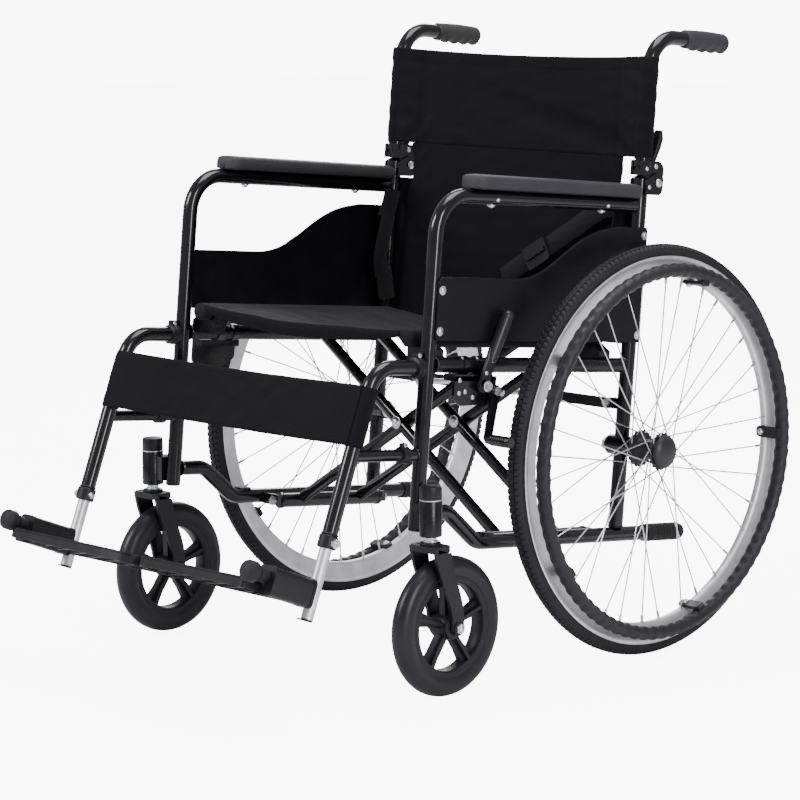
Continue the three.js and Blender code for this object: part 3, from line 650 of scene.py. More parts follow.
def arm_pad(side):
    """A moulded pad: flat base, crowned top, soft corners."""
    low, high = node_box("left_arm_pad")
    length, half, height = high.y - low.y, (high.x - low.x) / 2, high.z - low.z
    rows, across = 48, 24
    points = []
    for i in range(rows + 1):
        t = i / rows
        y = low.y + length * (0.5 - 0.5 * math.cos(math.pi * t))
        from_end = min(y - low.y, high.y - y)
        corner = 21
        squeeze = math.sqrt(max(0, 1 - (1 - min(from_end / corner, 1)) ** 2))
        width = half * (0.35 + 0.65 * squeeze)
        top = height * (0.55 + 0.45 * math.sqrt(max(0, 1 - (1 - min(from_end / 14, 1)) ** 2)))
        for k in range(across):
            a = 2 * math.pi * k / across
            power = 0.36
            c, s = math.cos(a), math.sin(a)
            x = width * math.copysign(abs(c) ** power, c)
            z = top * (0.5 + 0.5 * math.copysign(abs(s) ** (0.42 if s > 0 else 0.2), s))
            crown = 1.4 * (1 - (x / half) ** 2) * (1 if s > 0 else 0)
            points.append((FRAME_X + x, y, low.z + min(z + crown - 0.9, height + 0.5)))
    pad = build(side, "arm_cushion", [skin(points, across)], "frame", "foam",
                replaces=["arm_pad"], sharp=180)
    base = slab(rounded([(FRAME_X - half + 4, low.y + 5), (FRAME_X + half - 4, low.y + 5),
                         (FRAME_X + half - 4, high.y - 5), (FRAME_X - half + 4, high.y - 5)], 16),
                low.z - 1.6, low.z + 1, "XY", 0.4)
    build(side, "arm_pad_base", [base], "frame", "plastic")
    screws = []
    for y in (-317, -83):
        screws += [plug((FRAME_X, y, ARM_Z - TUBE_R), 6, -1.6, 0.6, "Z", 0.4),
                   dome_head((FRAME_X, y, ARM_Z - TUBE_R - 1.4), 4.4, 3.4, -1, "Z")]
        screws.append(dome_head((FRAME_X + TUBE_R - 1.5, y + 3, ARM_Z - 3), 3.6, 3.4))
    build(side, "arm_pad_screws", screws, "frame", "steel")


def guard(side):
    """Clothing guard: a thin moulded panel with a rolled rim along its waved top."""
    low, high = node_box("left_side_guard")
    wave = [(high.y - 2, high.z), (-58, high.z)]
    wave += bezier((-58, 323), (-165, 317), (-185, 243), (-272, 243), 22)[1:]
    wave += [(-272, 243), (low.y + 8, 242.4), (low.y + 2.2, 240), (low.y, 235)]
    outline = [(low.y, low.z + 5), (low.y + 1.4, low.z + 1.4), (low.y + 5, low.z), (high.y - 3, low.z),
               (high.y, low.z + 3),
               (high.y, high.z - 3), *wave]
    panel = slab(outline, low.x, high.x, "YZ", 0.7)
    rim = sweep([(high.x - 0.9, y, z) for y, z in wave], circle(1.5, 10))
    build(side, "clothing_guard", [panel, rim], "frame", "guard", replaces=["side_guard"])
    heads = [head for y, z in ((low.y + 7, 225), (low.y + 7, 168), (high.y - 7, 313), (high.y - 7, 166))
             for head in screw(y, z, high.x)]
    build(side, "guard_screws", heads, "frame", "steel")


def leg_point(along, x=FRAME_X):
    """A point so far down the slanted leg."""
    return (x, LEG_TOP_Y - along * math.sin(LEG_SLANT), LEG_TOP_Z - along * math.cos(LEG_SLANT))


def legrest(side):
    """Leg tube with its brace, and the clamps and bolts that hold them."""
    start = POST_Y - TUBE_R
    leg = tube([(FRAME_X, start, LEG_TOP_Z), leg_point(0), leg_point(LEG_LENGTH)], TUBE_R, 45, 36)
    brace_z = -6
    brace = tube([(FRAME_X, start, brace_z), (FRAME_X, -555, brace_z)], 8.5, sides=24)
    build(side, "legrest_tube", [leg, brace, weld((FRAME_X, start - 1, brace_z), 8.5, "Y")],
          "frame", "paint", replaces=["legrest"])
    top_clamp = lathe([(11, 0), (14.5, 1), (14.5, 15), (11, 16)], (FRAME_X, start - 17, LEG_TOP_Z), "Y", 32,
                      closed=True)
    band = lathe([(14.2, 6), (15.3, 6.6), (15.3, 9.4), (14.2, 10)], (FRAME_X, start - 17, LEG_TOP_Z), "Y", 32,
                 closed=True)
    ears = box((FRAME_X - 4, start - 15, LEG_TOP_Z + 12), (FRAME_X + 4, start - 3, LEG_TOP_Z + 21), 1.6)
    collar = lathe([(8, 0), (12, 1), (12, 14), (8, 15)], (FRAME_X, start - 32, brace_z), "Y", 28, closed=True)
    collar_ears = box((FRAME_X - 3, start - 30, brace_z + 9), (FRAME_X + 3, start - 19, brace_z + 17), 1.4)
    height_collar = tube([leg_point(LEG_LENGTH - 18), leg_point(LEG_LENGTH + 0.5)], 13.5, sides=32,
                         chamfer=1.4)
    lip = tube([leg_point(LEG_LENGTH - 21), leg_point(LEG_LENGTH - 18)], 12.3, sides=32)
    build(side, "legrest_clamps", [top_clamp, band, ears, collar, collar_ears, height_collar, lip],
          "frame", "plastic")
    bolt_at = leg_point(LEG_LENGTH - 8)
    bolt = [hex_nut((0, bolt_at[1], bolt_at[2]), 7, FRAME_X + 13, FRAME_X + 18),
            tube([leg_point(LEG_LENGTH - 8, FRAME_X + 8), leg_point(LEG_LENGTH - 8, FRAME_X + 24)], 4,
                 sides=18),
            dome_head((FRAME_X - 13.2, bolt_at[1], bolt_at[2]), 5, 3, -1),
            plug((0, start - 9, LEG_TOP_Z + 17), 3.4, FRAME_X - 6, FRAME_X + 6),
            plug((0, start - 24.5, brace_z + 14), 2.8, FRAME_X - 5, FRAME_X + 5)]
    build(side, "legrest_bolts", bolt, "frame", "steel")


def brake_mount(side):
    """Plate clamped under the side tube, with the pins that the brake turns on."""
    high = node_box("left_brake_bracket")[1]
    outline = rounded([(-386, 106), (-386, 74), (-372, 64), (-322, 66), (-302, 80), (-302, 106)],
                      [1, 5, 5, 6, 5, 1])
    ear = slab(outline, 276, 280, "YZ", 0.6)
    saddle = box((FRAME_X - 2, -386, 99), (280, -310, 108.4), 1.2)
    clamp = lathe([(11, 0), (13, 0.8), (13, 13), (11, 14)], (FRAME_X, -360, SIDE_TUBE_Z), "Y", 28,
                  closed=True)
    clamp_two = lathe([(11, 0), (13, 0.8), (13, 13), (11, 14)], (FRAME_X, -330, SIDE_TUBE_Z), "Y", 28,
                      closed=True)
    build(side, "brake_bracket_plate", [ear, saddle, clamp, clamp_two], "frame", "paint",
          replaces=["brake_bracket"])
    pins = []
    for y, z in (BRAKE_PIN, SHOE_PIN):
        pins += [tube([(279, y, z), (high.x, y, z)], 4, sides=18),
                 hex_nut((0, y, z), 6.6, high.x - 3, high.x + 0.5),
                 plug((0, y, z), 8, high.x - 3.8, high.x - 3)]
    for y, z in ((-376, 100), (-364, 84), (-348, 76), (-376, 82)):
        pins += [dome_head((280, y, z), 3.6, 2.2)]
    build(side, "brake_pins", pins, "frame", "steel")


def caster_housing(side):
    """Bearing barrel in front of the post, with its cap."""
    floor = -WHEEL_R
    barrel = lathe([(6.4, 232), (15.2, 232), (16, 233), (16, 281.4), (15.4, 282.4), (14.4, 282.6),
                    (14.4, 284),
                    (0, 284), (0, 282), (6.4, 280)], (CASTER_X, STEM_Y, floor), "Z", 48, closed=True)
    inner = FRAME_X + TUBE_R - 1
    bracket = box((inner, STEM_Y - 6, floor + 240), (CASTER_X - 8, STEM_Y + 20, floor + 276), 1.5)
    build(side, "caster_barrel", [barrel, bracket], "frame", "arm_paint", LEVEL,
          replaces=["caster_housing"])
    cap = lathe([(0, 283.6), (15, 283.6), (15.7, 284.6), (15.5, 300), (14.6, 302.4), (12, 303), (0, 303)],
                (CASTER_X, STEM_Y, floor), "Z", 48)
    build(side, "caster_cap", [cap], "frame", "plastic", LEVEL)
    seam = lathe([(14, 282.7), (15.9, 282.7), (15.9, 284.0), (14, 284.0)], (CASTER_X, STEM_Y, floor), "Z", 48,
                 closed=True)
    build(side, "caster_seam", [seam], "frame", "steel", LEVEL)


# ---------------------------------------------------------------- half folding back
def back_cane(side):
    """Upper back tube with its hinge tongue, the latch lever and the grip."""
    pipe = tube([(FRAME_X, 0, CANE_FOOT_Z), (FRAME_X, 0, HANDLE_Z), (FRAME_X, HANDLE_END_Y - 4, HANDLE_Z)],
                TUBE_R, 50, 36)
    foot, top = node_box("left_back_cane")[0].z, 424
    outline = rounded([(-12, CANE_FOOT_Z), (11, CANE_FOOT_Z), (12, 390), (16, foot), (24, foot), (30, 390),
                       (36, 402),
                       (36, 416), (28, top), (-12, top)], [1, 3, 3, 3, 3, 4, 5, 5, 6, 2])
    cheeks = [slab(outline, x, x + 4.5, "YZ", 0.8) for x in (FRAME_X - 12, FRAME_X + 7.5)]
    collar = lathe([(11, 0), (13.2, 0.8), (13.2, 9.2), (11, 10)], (FRAME_X, 0, 414), "Z", 32, closed=True)
    ring = lathe([(11, 0), (12.6, 0.8), (12.6, 4.2), (11, 5)], (FRAME_X, 0, 425), "Z", 32, closed=True)
    heel = box((FRAME_X - 11, -11, CANE_FOOT_Z), (FRAME_X + 11, 11, 410), 1.5)
    build(side, "back_cane_tube", [pipe, *cheeks, collar, ring, heel], "back", "paint",
          replaces=["back_cane"])
    pin = [tube([(FRAME_X - 14, LATCH_Y, LATCH_Z), (FRAME_X + 14, LATCH_Y, LATCH_Z)], 2.5, sides=16)]
    pin += [dome_head((FRAME_X + 12, LATCH_Y, LATCH_Z), 4, 2),
            dome_head((FRAME_X - 12, LATCH_Y, LATCH_Z), 4, 2, -1),
            dome_head((FRAME_X + 12, -2, 412), 3.4, 1.8)]
    build(side, "back_cane_rivets", pin, "back", "steel")

    eye = plug((0, LATCH_Y, LATCH_Z), 6, FRAME_X - 5.5, FRAME_X + 5.5)
    line = [(FRAME_X, LATCH_Y, LATCH_Z), (FRAME_X, 23, 430), (FRAME_X, 28, 444), (FRAME_X, 31.5, 458),
            (FRAME_X, 32, 470)]
    section = [(a * 7, b * 4) for a, b in ((-1, -0.5), (-0.8, -1), (0.8, -1), (1, -0.5), (1, 0.5), (0.8, 1),
                                           (-0.8, 1),
                                           (-1, 0.5))]
    blade = sweep(line, section, [0.72, 0.9, 1.05, 1.15, 0.8])
    build(side, "back_latch_lever", [eye, blade], "latch", "plastic", replaces=["back_latch"])
    push_grip(side)


def push_grip(side):
    """Foam grip: round above, with finger waves below and a ribbed collar."""
    low, high = node_box("left_push_grip")
    rows, around = 96, 40
    length = high.y - low.y
    points = []
    for i in range(rows + 1):
        t = i / rows
        y = low.y + length * t
        body = 14.6 - 0.6 * math.cos(2 * math.pi * t)
        start = min(t / 0.03, 1)
        end = math.sqrt(max(0, 1 - max(0, (t - 0.9) / 0.1) ** 2))
        for k in range(around):
            a = 2 * math.pi * k / around
            below = max(0, -math.sin(a)) ** 1.5
            fingers = 1.9 * below * math.cos(2 * math.pi * 4.5 * (t - 0.12)) if 0.1 < t < 0.93 else 0
            groove = 0.35 * max(0, math.cos(2 * math.pi * t * 26)) if t < 0.14 else 0
            radius = max((body - groove - fingers) * (0.86 + 0.14 * start) * (0.25 + 0.75 * end), 0.4)
            points.append((FRAME_X + radius * math.cos(a), y, HANDLE_Z + radius * math.sin(a)))
    grip = build(side, "foam_grip", [skin(points, around)], "back", "foam",
                 replaces=["push_grip"], sharp=180)


# ---------------------------------------------------------------- cross frame
def cross_frame():
    """Each half carries the seat rail of the side it rises to."""
    for label, sign, offset in (("left", 1, -BRACE_OFFSET), ("right", -1, BRACE_OFFSET)):
        low = Vector((sign * RAIL_X, 0, FOLD_LOW_Z))
        high = Vector((-sign * RAIL_X, 0, SEAT_RAIL_Z))
        along = (high - low).normalized()
        start, end = low + along * 6, high - along * 9
        arms = []
        for y in BRACE_Y:
            shift = Vector((0, y + offset, 0))
            arms.append(tube([start + shift, end + shift], 9.5, sides=32, flat=0.674,
                             first_side=along.cross(Vector((0, 1, 0)))))
        sleeve = tube([(low.x, -240, low.z), (low.x, -25, low.z)], TUBE_R, sides=32)
        collars = [lathe([(10.5, -3), (12.2, -2), (12.2, 2), (10.5, 3)], (low.x, y, low.z), "Y", 32,
                         closed=True)
                   for y in (-236, -29)]
        other = "right" if label == "left" else "left"
        rail_low, rail_high = node_box(f"{other}_seat_rail")
        rail = tube([(high.x, rail_low.y + 1, high.z), (high.x, rail_high.y - 1, high.z)], TUBE_R - 0.4,
                    sides=32)
        piece = placed(f"{label}_cross_arms", [*arms, sleeve, *collars, rail], "paint", f"{label}_brace")
        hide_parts(f"{label}_cross_brace", f"{other}_seat_rail")
        plugs = [lathe([(0, -3.4), (8, -3), (10.4, -1.4), (10.6, 0), (10.6, 1.4), (0, 1.4)],
                       (high.x, rail_low.y + 2.4, high.z), "Y", 32),
                 lathe([(0, 3.4), (8, 3), (10.4, 1.4), (10.6, 0), (10.6, -1.4), (0, -1.4)],
                       (high.x, rail_high.y - 2.4, high.z), "Y", 32)]
        placed(f"{other}_seat_rail_plugs", plugs, "plastic", f"{label}_brace")
        share = 97 / 264.5
        pin_x, pin_z = -sign * RAIL_X * share, FOLD_MID_Z + (SEAT_RAIL_Z - FOLD_MID_Z) * share
        bolts = [tube([(pin_x, BRACE_Y[1] + offset, pin_z), (pin_x, -24.5, pin_z)], 4.5, sides=18),
                 dome_head((pin_x, BRACE_Y[1] + offset - 6.4, pin_z), 7, 4, -1, "Y")]
        if label == "left":
            for y in BRACE_Y:
                bolts += [tube([(0, y - 17, FOLD_MID_Z), (0, y + 17, FOLD_MID_Z)], 4.5, sides=18),
                          dome_head((0, y - 15, FOLD_MID_Z), 8, 5, -1, "Y"),
                          hex_nut((0, y, FOLD_MID_Z), 8, 14.2, 19, "Y"),
                          plug((0, y, FOLD_MID_Z), 9.5, -15.2, -14, "Y", 0.4),
                          plug((0, y, FOLD_MID_Z), 9.5, 13.4, 14.4, "Y", 0.4)]
        placed(f"{label}_brace_bolts", bolts, "steel", f"{label}_brace")


def link_bar(side):
    """Flat bar with round ends, pinned at the rear post."""
    low, high = node_box("left_link_bar")
    middle = (low.z + high.z) / 2
    reach = 8
    left, right = low.x + reach, high.x - reach
    outline = []
    for centre, first in ((right, -90), (left, 90)):
        outline += [(centre + reach * math.cos(math.radians(first + 15 * k)),
                     middle + reach * math.sin(math.radians(first + 15 * k))) for k in range(13)]
    bar = slab(outline, low.y, high.y, "XZ", 0.7)
    boss = plug((left, 0, middle), 6.5, low.y - 0.6, high.y + 0.6, "Y", 0.5)
    build(side, "link_strap", [bar], "link", "arm_paint", replaces=["link_bar"])
    build(side, "link_boss", [boss], "link", "steel")


# ---------------------------------------------------------------- wheels
def tread(x, radius, tyre_r, knobs):
    """Tyre with three rows of knobs; the side rows are set half a knob on."""
    angles = [0, 9, 17, 20, 24, 36, 50, 54, 64, 76, 88, 100]
    angles = [-a for a in reversed(angles[1:])] + angles
    steps = 4
    count = knobs * steps
    centre = radius - tyre_r
    points = []
    for i in range(count):
        turn = 2 * math.pi * i / count
        for a in angles:
            row = abs(a)
            if row <= 17:
                high = i % steps in (0, 1, 2)
            elif 24 <= row <= 50:
                high = (i + 2) % steps in (0, 1, 2)
            else:
                high = False
            r = tyre_r - (0 if high else 2.4 if row < 54 else 1.4)
            out = centre + r * math.cos(math.radians(a))
            points.append((x + r * math.sin(math.radians(a)), out * math.cos(turn), out * math.sin(turn)))
    return skin(points, len(angles), ring=True)


def wavy_ring(x, ring_r, tube_r, waves):
    """Hand rim: an oval ring whose grip swells and narrows in a soft wave along both its edges."""
    count, around, oval = waves * 8, 20, 1.075
    points = []
    for i in range(count):
        turn = 2 * math.pi * i / count
        wave = math.cos(waves * turn)
        for k in range(around):
            a = 2 * math.pi * k / around
            r = tube_r * (1 - 0.17 * (0.5 + 0.5 * wave) * abs(math.cos(a)))
            out = ring_r + r * math.cos(a)
            points.append((x + oval * r * math.sin(a), out * math.cos(turn), out * math.sin(turn)))
    return skin(points, around, ring=True)


def turned_about_axle(shape, angle, place=(0, 0, 0)):
    """Turns a shape about the X axis, then moves it."""
    bmesh.ops.transform(shape, matrix=Matrix.Translation(Vector(place)) @ Matrix.Rotation(angle, 4, "X"),
                        verts=shape.verts)
    return shape


def rear_wheel(side):
    """Treaded tyre, rim, crossed spokes, hub and hand rim."""
    build(side, "treaded_tyre", [tread(WHEEL_X, WHEEL_R, TYRE_R, KNOBS)], "wheel", "tyre", LEVEL,
          replaces=["rear_tyre"], sharp=50)
    wall = [(258, 5), (262, 6.6), (281, 12), (283, 13), (286.6, 13), (288.4, 12.2)]
    profile = [(RIM_WELL_R, -3.6), (RIM_WELL_R, 3.6), *wall, *((r, -x) for r, x in reversed(wall))]
    rim = lathe(profile, (WHEEL_X, 0, 0), "X", 160, closed=True)
    build(side, "rim_band", [rim], "wheel", "rim", LEVEL, replaces=["rear_rim"])
    spokes, nipples, elbows = [], [], []
    for i in range(SPOKES):
        outer = i % 2 == 0
        lean = 1 if i % 4 < 2 else -1
        rim_angle = 2 * math.pi * (i + 0.5) / SPOKES
        hub_angle = rim_angle + lean * 1.15
        flange = (17.5 if outer else -23.5) + lean * 1.8
        rim_x = (3 if outer else -3) + lean * 0.6
        start = Vector((WHEEL_X + flange, 23 * math.cos(hub_angle), 23 * math.sin(hub_angle)))
        end = Vector((WHEEL_X + rim_x, 256.8 * math.cos(rim_angle), 256.8 * math.sin(rim_angle)))
        ahead = (end - start).normalized()
        spokes.append(tube([start, end], 1.05, sides=8, chamfer=0.2))
        nipples.append(tube([end - ahead * 11, end + ahead * 1.5], 2.0, sides=10, chamfer=0.6))
        elbows.append(ball((start.x, start.y, start.z), 2.5, rings=6, segments=10))
    build(side, "spokes", spokes, "wheel", "spoke", LEVEL, sharp=80)
    build(side, "nipples", nipples, "wheel", "steel", LEVEL)
    hub_profile = [(6.5, -30), (15, -30), (17, -28.6), (17, -25.6), (26, -25), (26.6, -24.2), (26.6, -22.8),
                   (26, -22),
                   (17, -20), (15, -17), (14.2, 0), (15, 8), (19, 15), (26, 16), (26.6, 16.6), (26.6, 18.6),
                   (26, 19.2),
                   (18, 19.4), (18, 22), (6.5, 22)]
    hub_core = lathe(hub_profile, (WHEEL_X, 0, 0), "X", 64, closed=True)
    teeth = []
    for i in range(18):
        turn = 2 * math.pi * i / 18
        for x in (16.4, -25):
            teeth.append(turned_about_axle(tube([(WHEEL_X + x - 0.8, 0, 25), (WHEEL_X + x + 3.4, 0, 25)], 3.1,
                                                sides=12,
                                                chamfer=0.6), turn))
    cap = lathe([(0, 20), (20, 20), (23.4, 20.6), (24.2, 22), (24.2, 24.4), (22.8, 27), (19, 30.4),
                 (13, 32.8),
                 (6, 34), (0, 34.2)], (WHEEL_X, 0, 0), "X", 64)
    ring = lathe([(15, -31.6), (17.8, -31.2), (18.2, -30), (18.2, -27.6), (15, -27)], (WHEEL_X, 0, 0), "X",
                 48, closed=True)
    build(side, "hub_shell", [hub_core, cap, ring, *teeth, *elbows], "wheel", "hub", LEVEL,
          replaces=["wheel_hub"])
    tabs, screws = [], []
    for i in range(RIM_TABS):
        turn = 2 * math.pi * i / RIM_TABS - math.pi / 2
        arm = slab(rounded([(WHEEL_X - 9, -8.5), (HAND_RIM_X, -8.5), (HAND_RIM_X, 8.5), (WHEEL_X - 9, 8.5)],
                           [7, 2, 2, 7]), 252.2, 256.8, "XY", 1)
        tabs.append(turned_about_axle(arm, turn))
        root = slab(rounded([(HAND_RIM_X - 10, -7.5), (HAND_RIM_X + 4, -7.5), (HAND_RIM_X + 4, 7.5),
                             (HAND_RIM_X - 10, 7.5)], 2), 253, 262, "XY", 1)
        tabs.append(turned_about_axle(root, turn))
        screws.append(turned_about_axle(plug((WHEEL_X, 0, 0), 5.4, 250.8, 252.4, "Z", 0.4), turn))
        screws.append(turned_about_axle(dome_head((WHEEL_X, 0, 250.9), 4.2, 3, -1, "Z"), turn))
    ring = wavy_ring(HAND_RIM_X, HAND_RIM_R, HAND_RIM_TUBE_R, HAND_RIM_WAVES)
    build(side, "hand_rim_ring", [ring, *tabs], "wheel", "hand_rim",
          LEVEL, replaces=["hand_rim"])
    build(side, "hand_rim_screws", screws, "wheel", "steel", LEVEL)


# ---------------------------------------------------------------- casters
def caster_fork(side):
    """Two curved legs below a crown, with the stem and the wheel's bolt."""
    floor = -WHEEL_R
    axle_z = floor + CASTER_R
    crown = slab(rounded([(CASTER_X - 26, STEM_Y - 17), (CASTER_X + 26, STEM_Y - 17),
                          (CASTER_X + 26, STEM_Y + 16),
                          (CASTER_X - 26, STEM_Y + 16)], 7), floor + 211, floor + 220, "XY", 2.4)
    hub_ring = plug((CASTER_X, STEM_Y, floor), 15, 219, 224, "Z", 1.5)
    shapes = [crown, hub_ring]
    y, top = STEM_Y, floor + 219
    edge = bezier((y - 16.4, top), (y - 11, floor + 172), (CASTER_Y - 15, floor + 150),
                  (CASTER_Y - 10, axle_z + 3), 14)
    edge += [(CASTER_Y + 10.5 * math.cos(a), axle_z + 10.5 * math.sin(a))
             for a in (math.pi + math.pi * k / 12 for k in range(13))]
    edge += bezier((CASTER_Y + 10.5, axle_z + 3), (CASTER_Y + 13, floor + 150), (y + 16, floor + 172),
                   (y + 15.4, top), 14)
    for low, high in ((CASTER_X - 26, CASTER_X - 21), (CASTER_X + 21, CASTER_X + 26)):
        shapes.append(slab(edge, low, high, "YZ", 1.6))
        outside = high if low > CASTER_X else low
        direction = 1 if low > CASTER_X else -1
        shapes.append(plug((0, CASTER_Y, axle_z), 10, min(outside, outside + direction * 2),
                           max(outside, outside + direction * 2), "X", 0.8))
    build(side, "fork", shapes, "swivel", "plastic", LEVEL, replaces=["caster_fork"])
    stem = [tube([(CASTER_X, STEM_Y, floor + 218), (CASTER_X, STEM_Y, floor + 275)], 6, sides=20),
            plug((CASTER_X, STEM_Y, floor), 10.5, 223.6, 226.2, "Z", 0.5),
            plug((CASTER_X, STEM_Y, floor), 8.5, 226, 231.4, "Z", 0.5)]
    bolt = tube([(CASTER_X - 27, CASTER_Y, axle_z), (CASTER_X + 27, CASTER_Y, axle_z)], 4.6, sides=16)
    ends = [hex_nut((0, CASTER_Y, axle_z), 7.6, CASTER_X - 32.6, CASTER_X - 28),
            hex_nut((0, CASTER_Y, axle_z), 7.6, CASTER_X + 28, CASTER_X + 31),
            dome_head((CASTER_X + 30.6, CASTER_Y, axle_z), 5.4, 4.2)]
    build(side, "caster_bolts", [*stem, bolt, *ends], "swivel", "steel", LEVEL)


def caster_wheel(side):
    """Solid tyre on a five-spoke core."""
    centre = (CASTER_X, CASTER_Y, CASTER_R - WHEEL_R)
    half, inner = 16, 73
    profile = [(inner, half - 3), (inner, 3 - half)]
    for k in range(17):
        a = -math.pi / 2 + math.pi * k / 16
        power = 0.8
        out = math.cos(a) ** power if math.cos(a) > 1e-6 else 0
        profile.append((inner + 7.6 + (CASTER_R - inner - 7.6) * out, half * math.sin(a)))
    tyre = lathe(profile, centre, "X", 120, closed=True)
    build(side, "solid_tyre", [tyre], "caster", "caster_tyre", LEVEL, replaces=["caster_tyre"],
          sharp=60)
    band = lathe([(73.4, 12.6), (73.4, -12.6), (71, -13.4), (64, -12), (62.6, -10), (62.6, 10), (64, 12),
                  (71, 13.4)],
                 centre, "X", 96, closed=True)
    hub_core = lathe([(18, 13), (18, -13), (16.4, -17), (13, -18.4), (5.4, -18.4), (5.4, 18.4), (13, 18.4),
                      (16.4, 17)],
                     centre, "X", 48, closed=True)
    shapes = [band, hub_core]
    for i in range(CASTER_SPOKES):
        turn = 2 * math.pi * i / CASTER_SPOKES
        web = slab([(-6.5, 14), (6.5, 14), (7.4, 40), (11.5, 65), (-11.5, 65), (-7.4, 40)], -5, 5, "YZ", 1.5)
        rib = slab([(-2.6, 14), (2.6, 14), (2.6, 65), (-2.6, 65)], -11, 11, "YZ", 1.2)
        shapes += [turned_about_axle(web, turn, centre), turned_about_axle(rib, turn, centre)]
    build(side, "caster_core", shapes, "caster", "plastic", LEVEL, replaces=["caster_wheel"])


# ---------------------------------------------------------------- brakes
def brake(side):
    """Hand lever, and the cranked arm with its ribbed roller."""
    y, z = BRAKE_PIN
    eye = plug((0, y, z), 10, 282.6, 289, "X", 0.8)
    blade = slab(rounded([(y - 9, z + 2), (y + 7, z - 3), (y + 24, z + 50), (y + 12, z + 56)], 4), 283, 289,
                 "YZ", 1)
    stations = [(286, y + 11, z + 34), (286, y + 14.5, z + 44), (286, y + 36, z + 92),
                (286, y + 39.4, z + 100.6)]
    handle = sweep(stations, circle(8.6, 24), [0.8, 1, 1.04, 0.92])
    knob = ball((286, y + 39, z + 99), 9)
    build(side, "brake_handle", [eye, blade, handle, knob], "brake", "lever",
          replaces=["brake_lever"])
    rivet = [dome_head((289, y + 13, z + 36), 3.6, 2.2), dome_head((289, y + 2, z + 18), 3.2, 1.6)]
    build(side, "brake_handle_rivets", rivet, "brake", "steel")
    y, z = SHOE_PIN
    eye = plug((0, y, z), 9, 290.4, 295.2, "X", 0.8)
    arm = slab(rounded([(y - 8, z + 1), (y + 8, z), (y - 3, z - 70), (y - 16, z - 70)], 4), 290.4, 295.2,
               "YZ", 1)
    bar = tube([(292, y - 10, z - 68), (340, y - 10, z - 68)], 6.6, sides=20)
    roller = lathe([(7, 0), (7.6, 1.5), (7.6, 38), (7, 39.5), (0, 39.5), (0, 0)], (300, y - 10, z - 68), "X",
                   28)
    grooves = [lathe([(7.4, h), (8.1, h + 0.6), (8.1, h + 1.8), (7.4, h + 2.4)], (300, y - 10, z - 68), "X",
                     28,
                     closed=True) for h in range(3, 37, 4)]
    build(side, "brake_roller", [eye, arm, bar, roller, *grooves], "shoe", "paint",
          replaces=["brake_shoe"])


# ---------------------------------------------------------------- footrests
def foot_slider(side):
    """Telescoping steel tube with the footplate's pivot rod."""
    low, high = -40, 146
    body = tube([(FRAME_X, 0, low), (FRAME_X, 0, high)], 8.8, sides=28)
    build(side, "slider_tube", [body], "slider", "slider", FOOT)
    foot = [plug((FRAME_X, 0, 0), 8.2, low - 2, low + 1, "Z", 0.8),
            box((FRAME_X - 9, -10, low - 2), (FRAME_X + 7, 4, low), 0.8)]
    build(side, "slider_end", foot, "slider", "plastic", FOOT)
    rod = tube([(FRAME_X, 4, 0), (FRAME_X, -118, 0)], 8, sides=24)
    profile = [(0, -8), (7, -8), (13, -6.6), (14.8, -4), (14.8, 7), (13.6, 10), (9.6, 12.6), (4, 13.6),
               (0, 13.8)]
    knob = lathe([(r, -h) for r, h in profile], (FRAME_X, -122, 0), "Y", 40)
    neck = lathe([(8, 0), (10.4, 0.8), (10.4, 9), (8, 10)], (FRAME_X, -112, 0), "Y", 32, closed=True)
    build(side, "pivot_rod", [rod, knob, neck], "slider", "tyre", FOOT,
          replaces=["foot_slider"])


def chords(outline, direction, spacing):
    """Pieces of evenly spaced parallel lines that lie inside a flat outline."""
    along = Vector(direction).normalized()
    across = Vector((-along.y, along.x))
    heights = [Vector(p).dot(across) for p in outline]
    segments = []
    level = min(heights) + spacing / 2
    while level < max(heights):
        cuts = []
        for i, p in enumerate(outline):
            q = outline[(i + 1) % len(outline)]
            a, b = heights[i] - level, heights[(i + 1) % len(outline)] - level
            if (a < 0) != (b < 0):
                cuts.append((Vector(p) + (Vector(q) - Vector(p)) * a / (a - b)).dot(along))
        cuts.sort()
        for a, b in zip(cuts[::2], cuts[1::2]):
            segments.append((across * level + along * a, across * level + along * b))
        level += spacing
    return segments


def inset(outline, depth):
    """The outline moved inwards; it runs anticlockwise seen from above."""
    area = sum(p[0] * q[1] - q[0] * p[1] for p, q in zip(outline, outline[1:] + outline[:1]))
    sign = 1 if area > 0 else -1
    moved = []
    for i, p in enumerate(outline):
        a = (Vector(p) - Vector(outline[i - 1])).normalized()
        b = (Vector(outline[(i + 1) % len(outline)]) - Vector(p)).normalized()
        normal = Vector((-(a.y + b.y), a.x + b.x)).normalized() * sign
        cosine = max(0.4, normal.dot(Vector((-a.y, a.x)) * sign))
        moved.append(tuple(Vector(p) + normal * depth / cosine))
    return moved


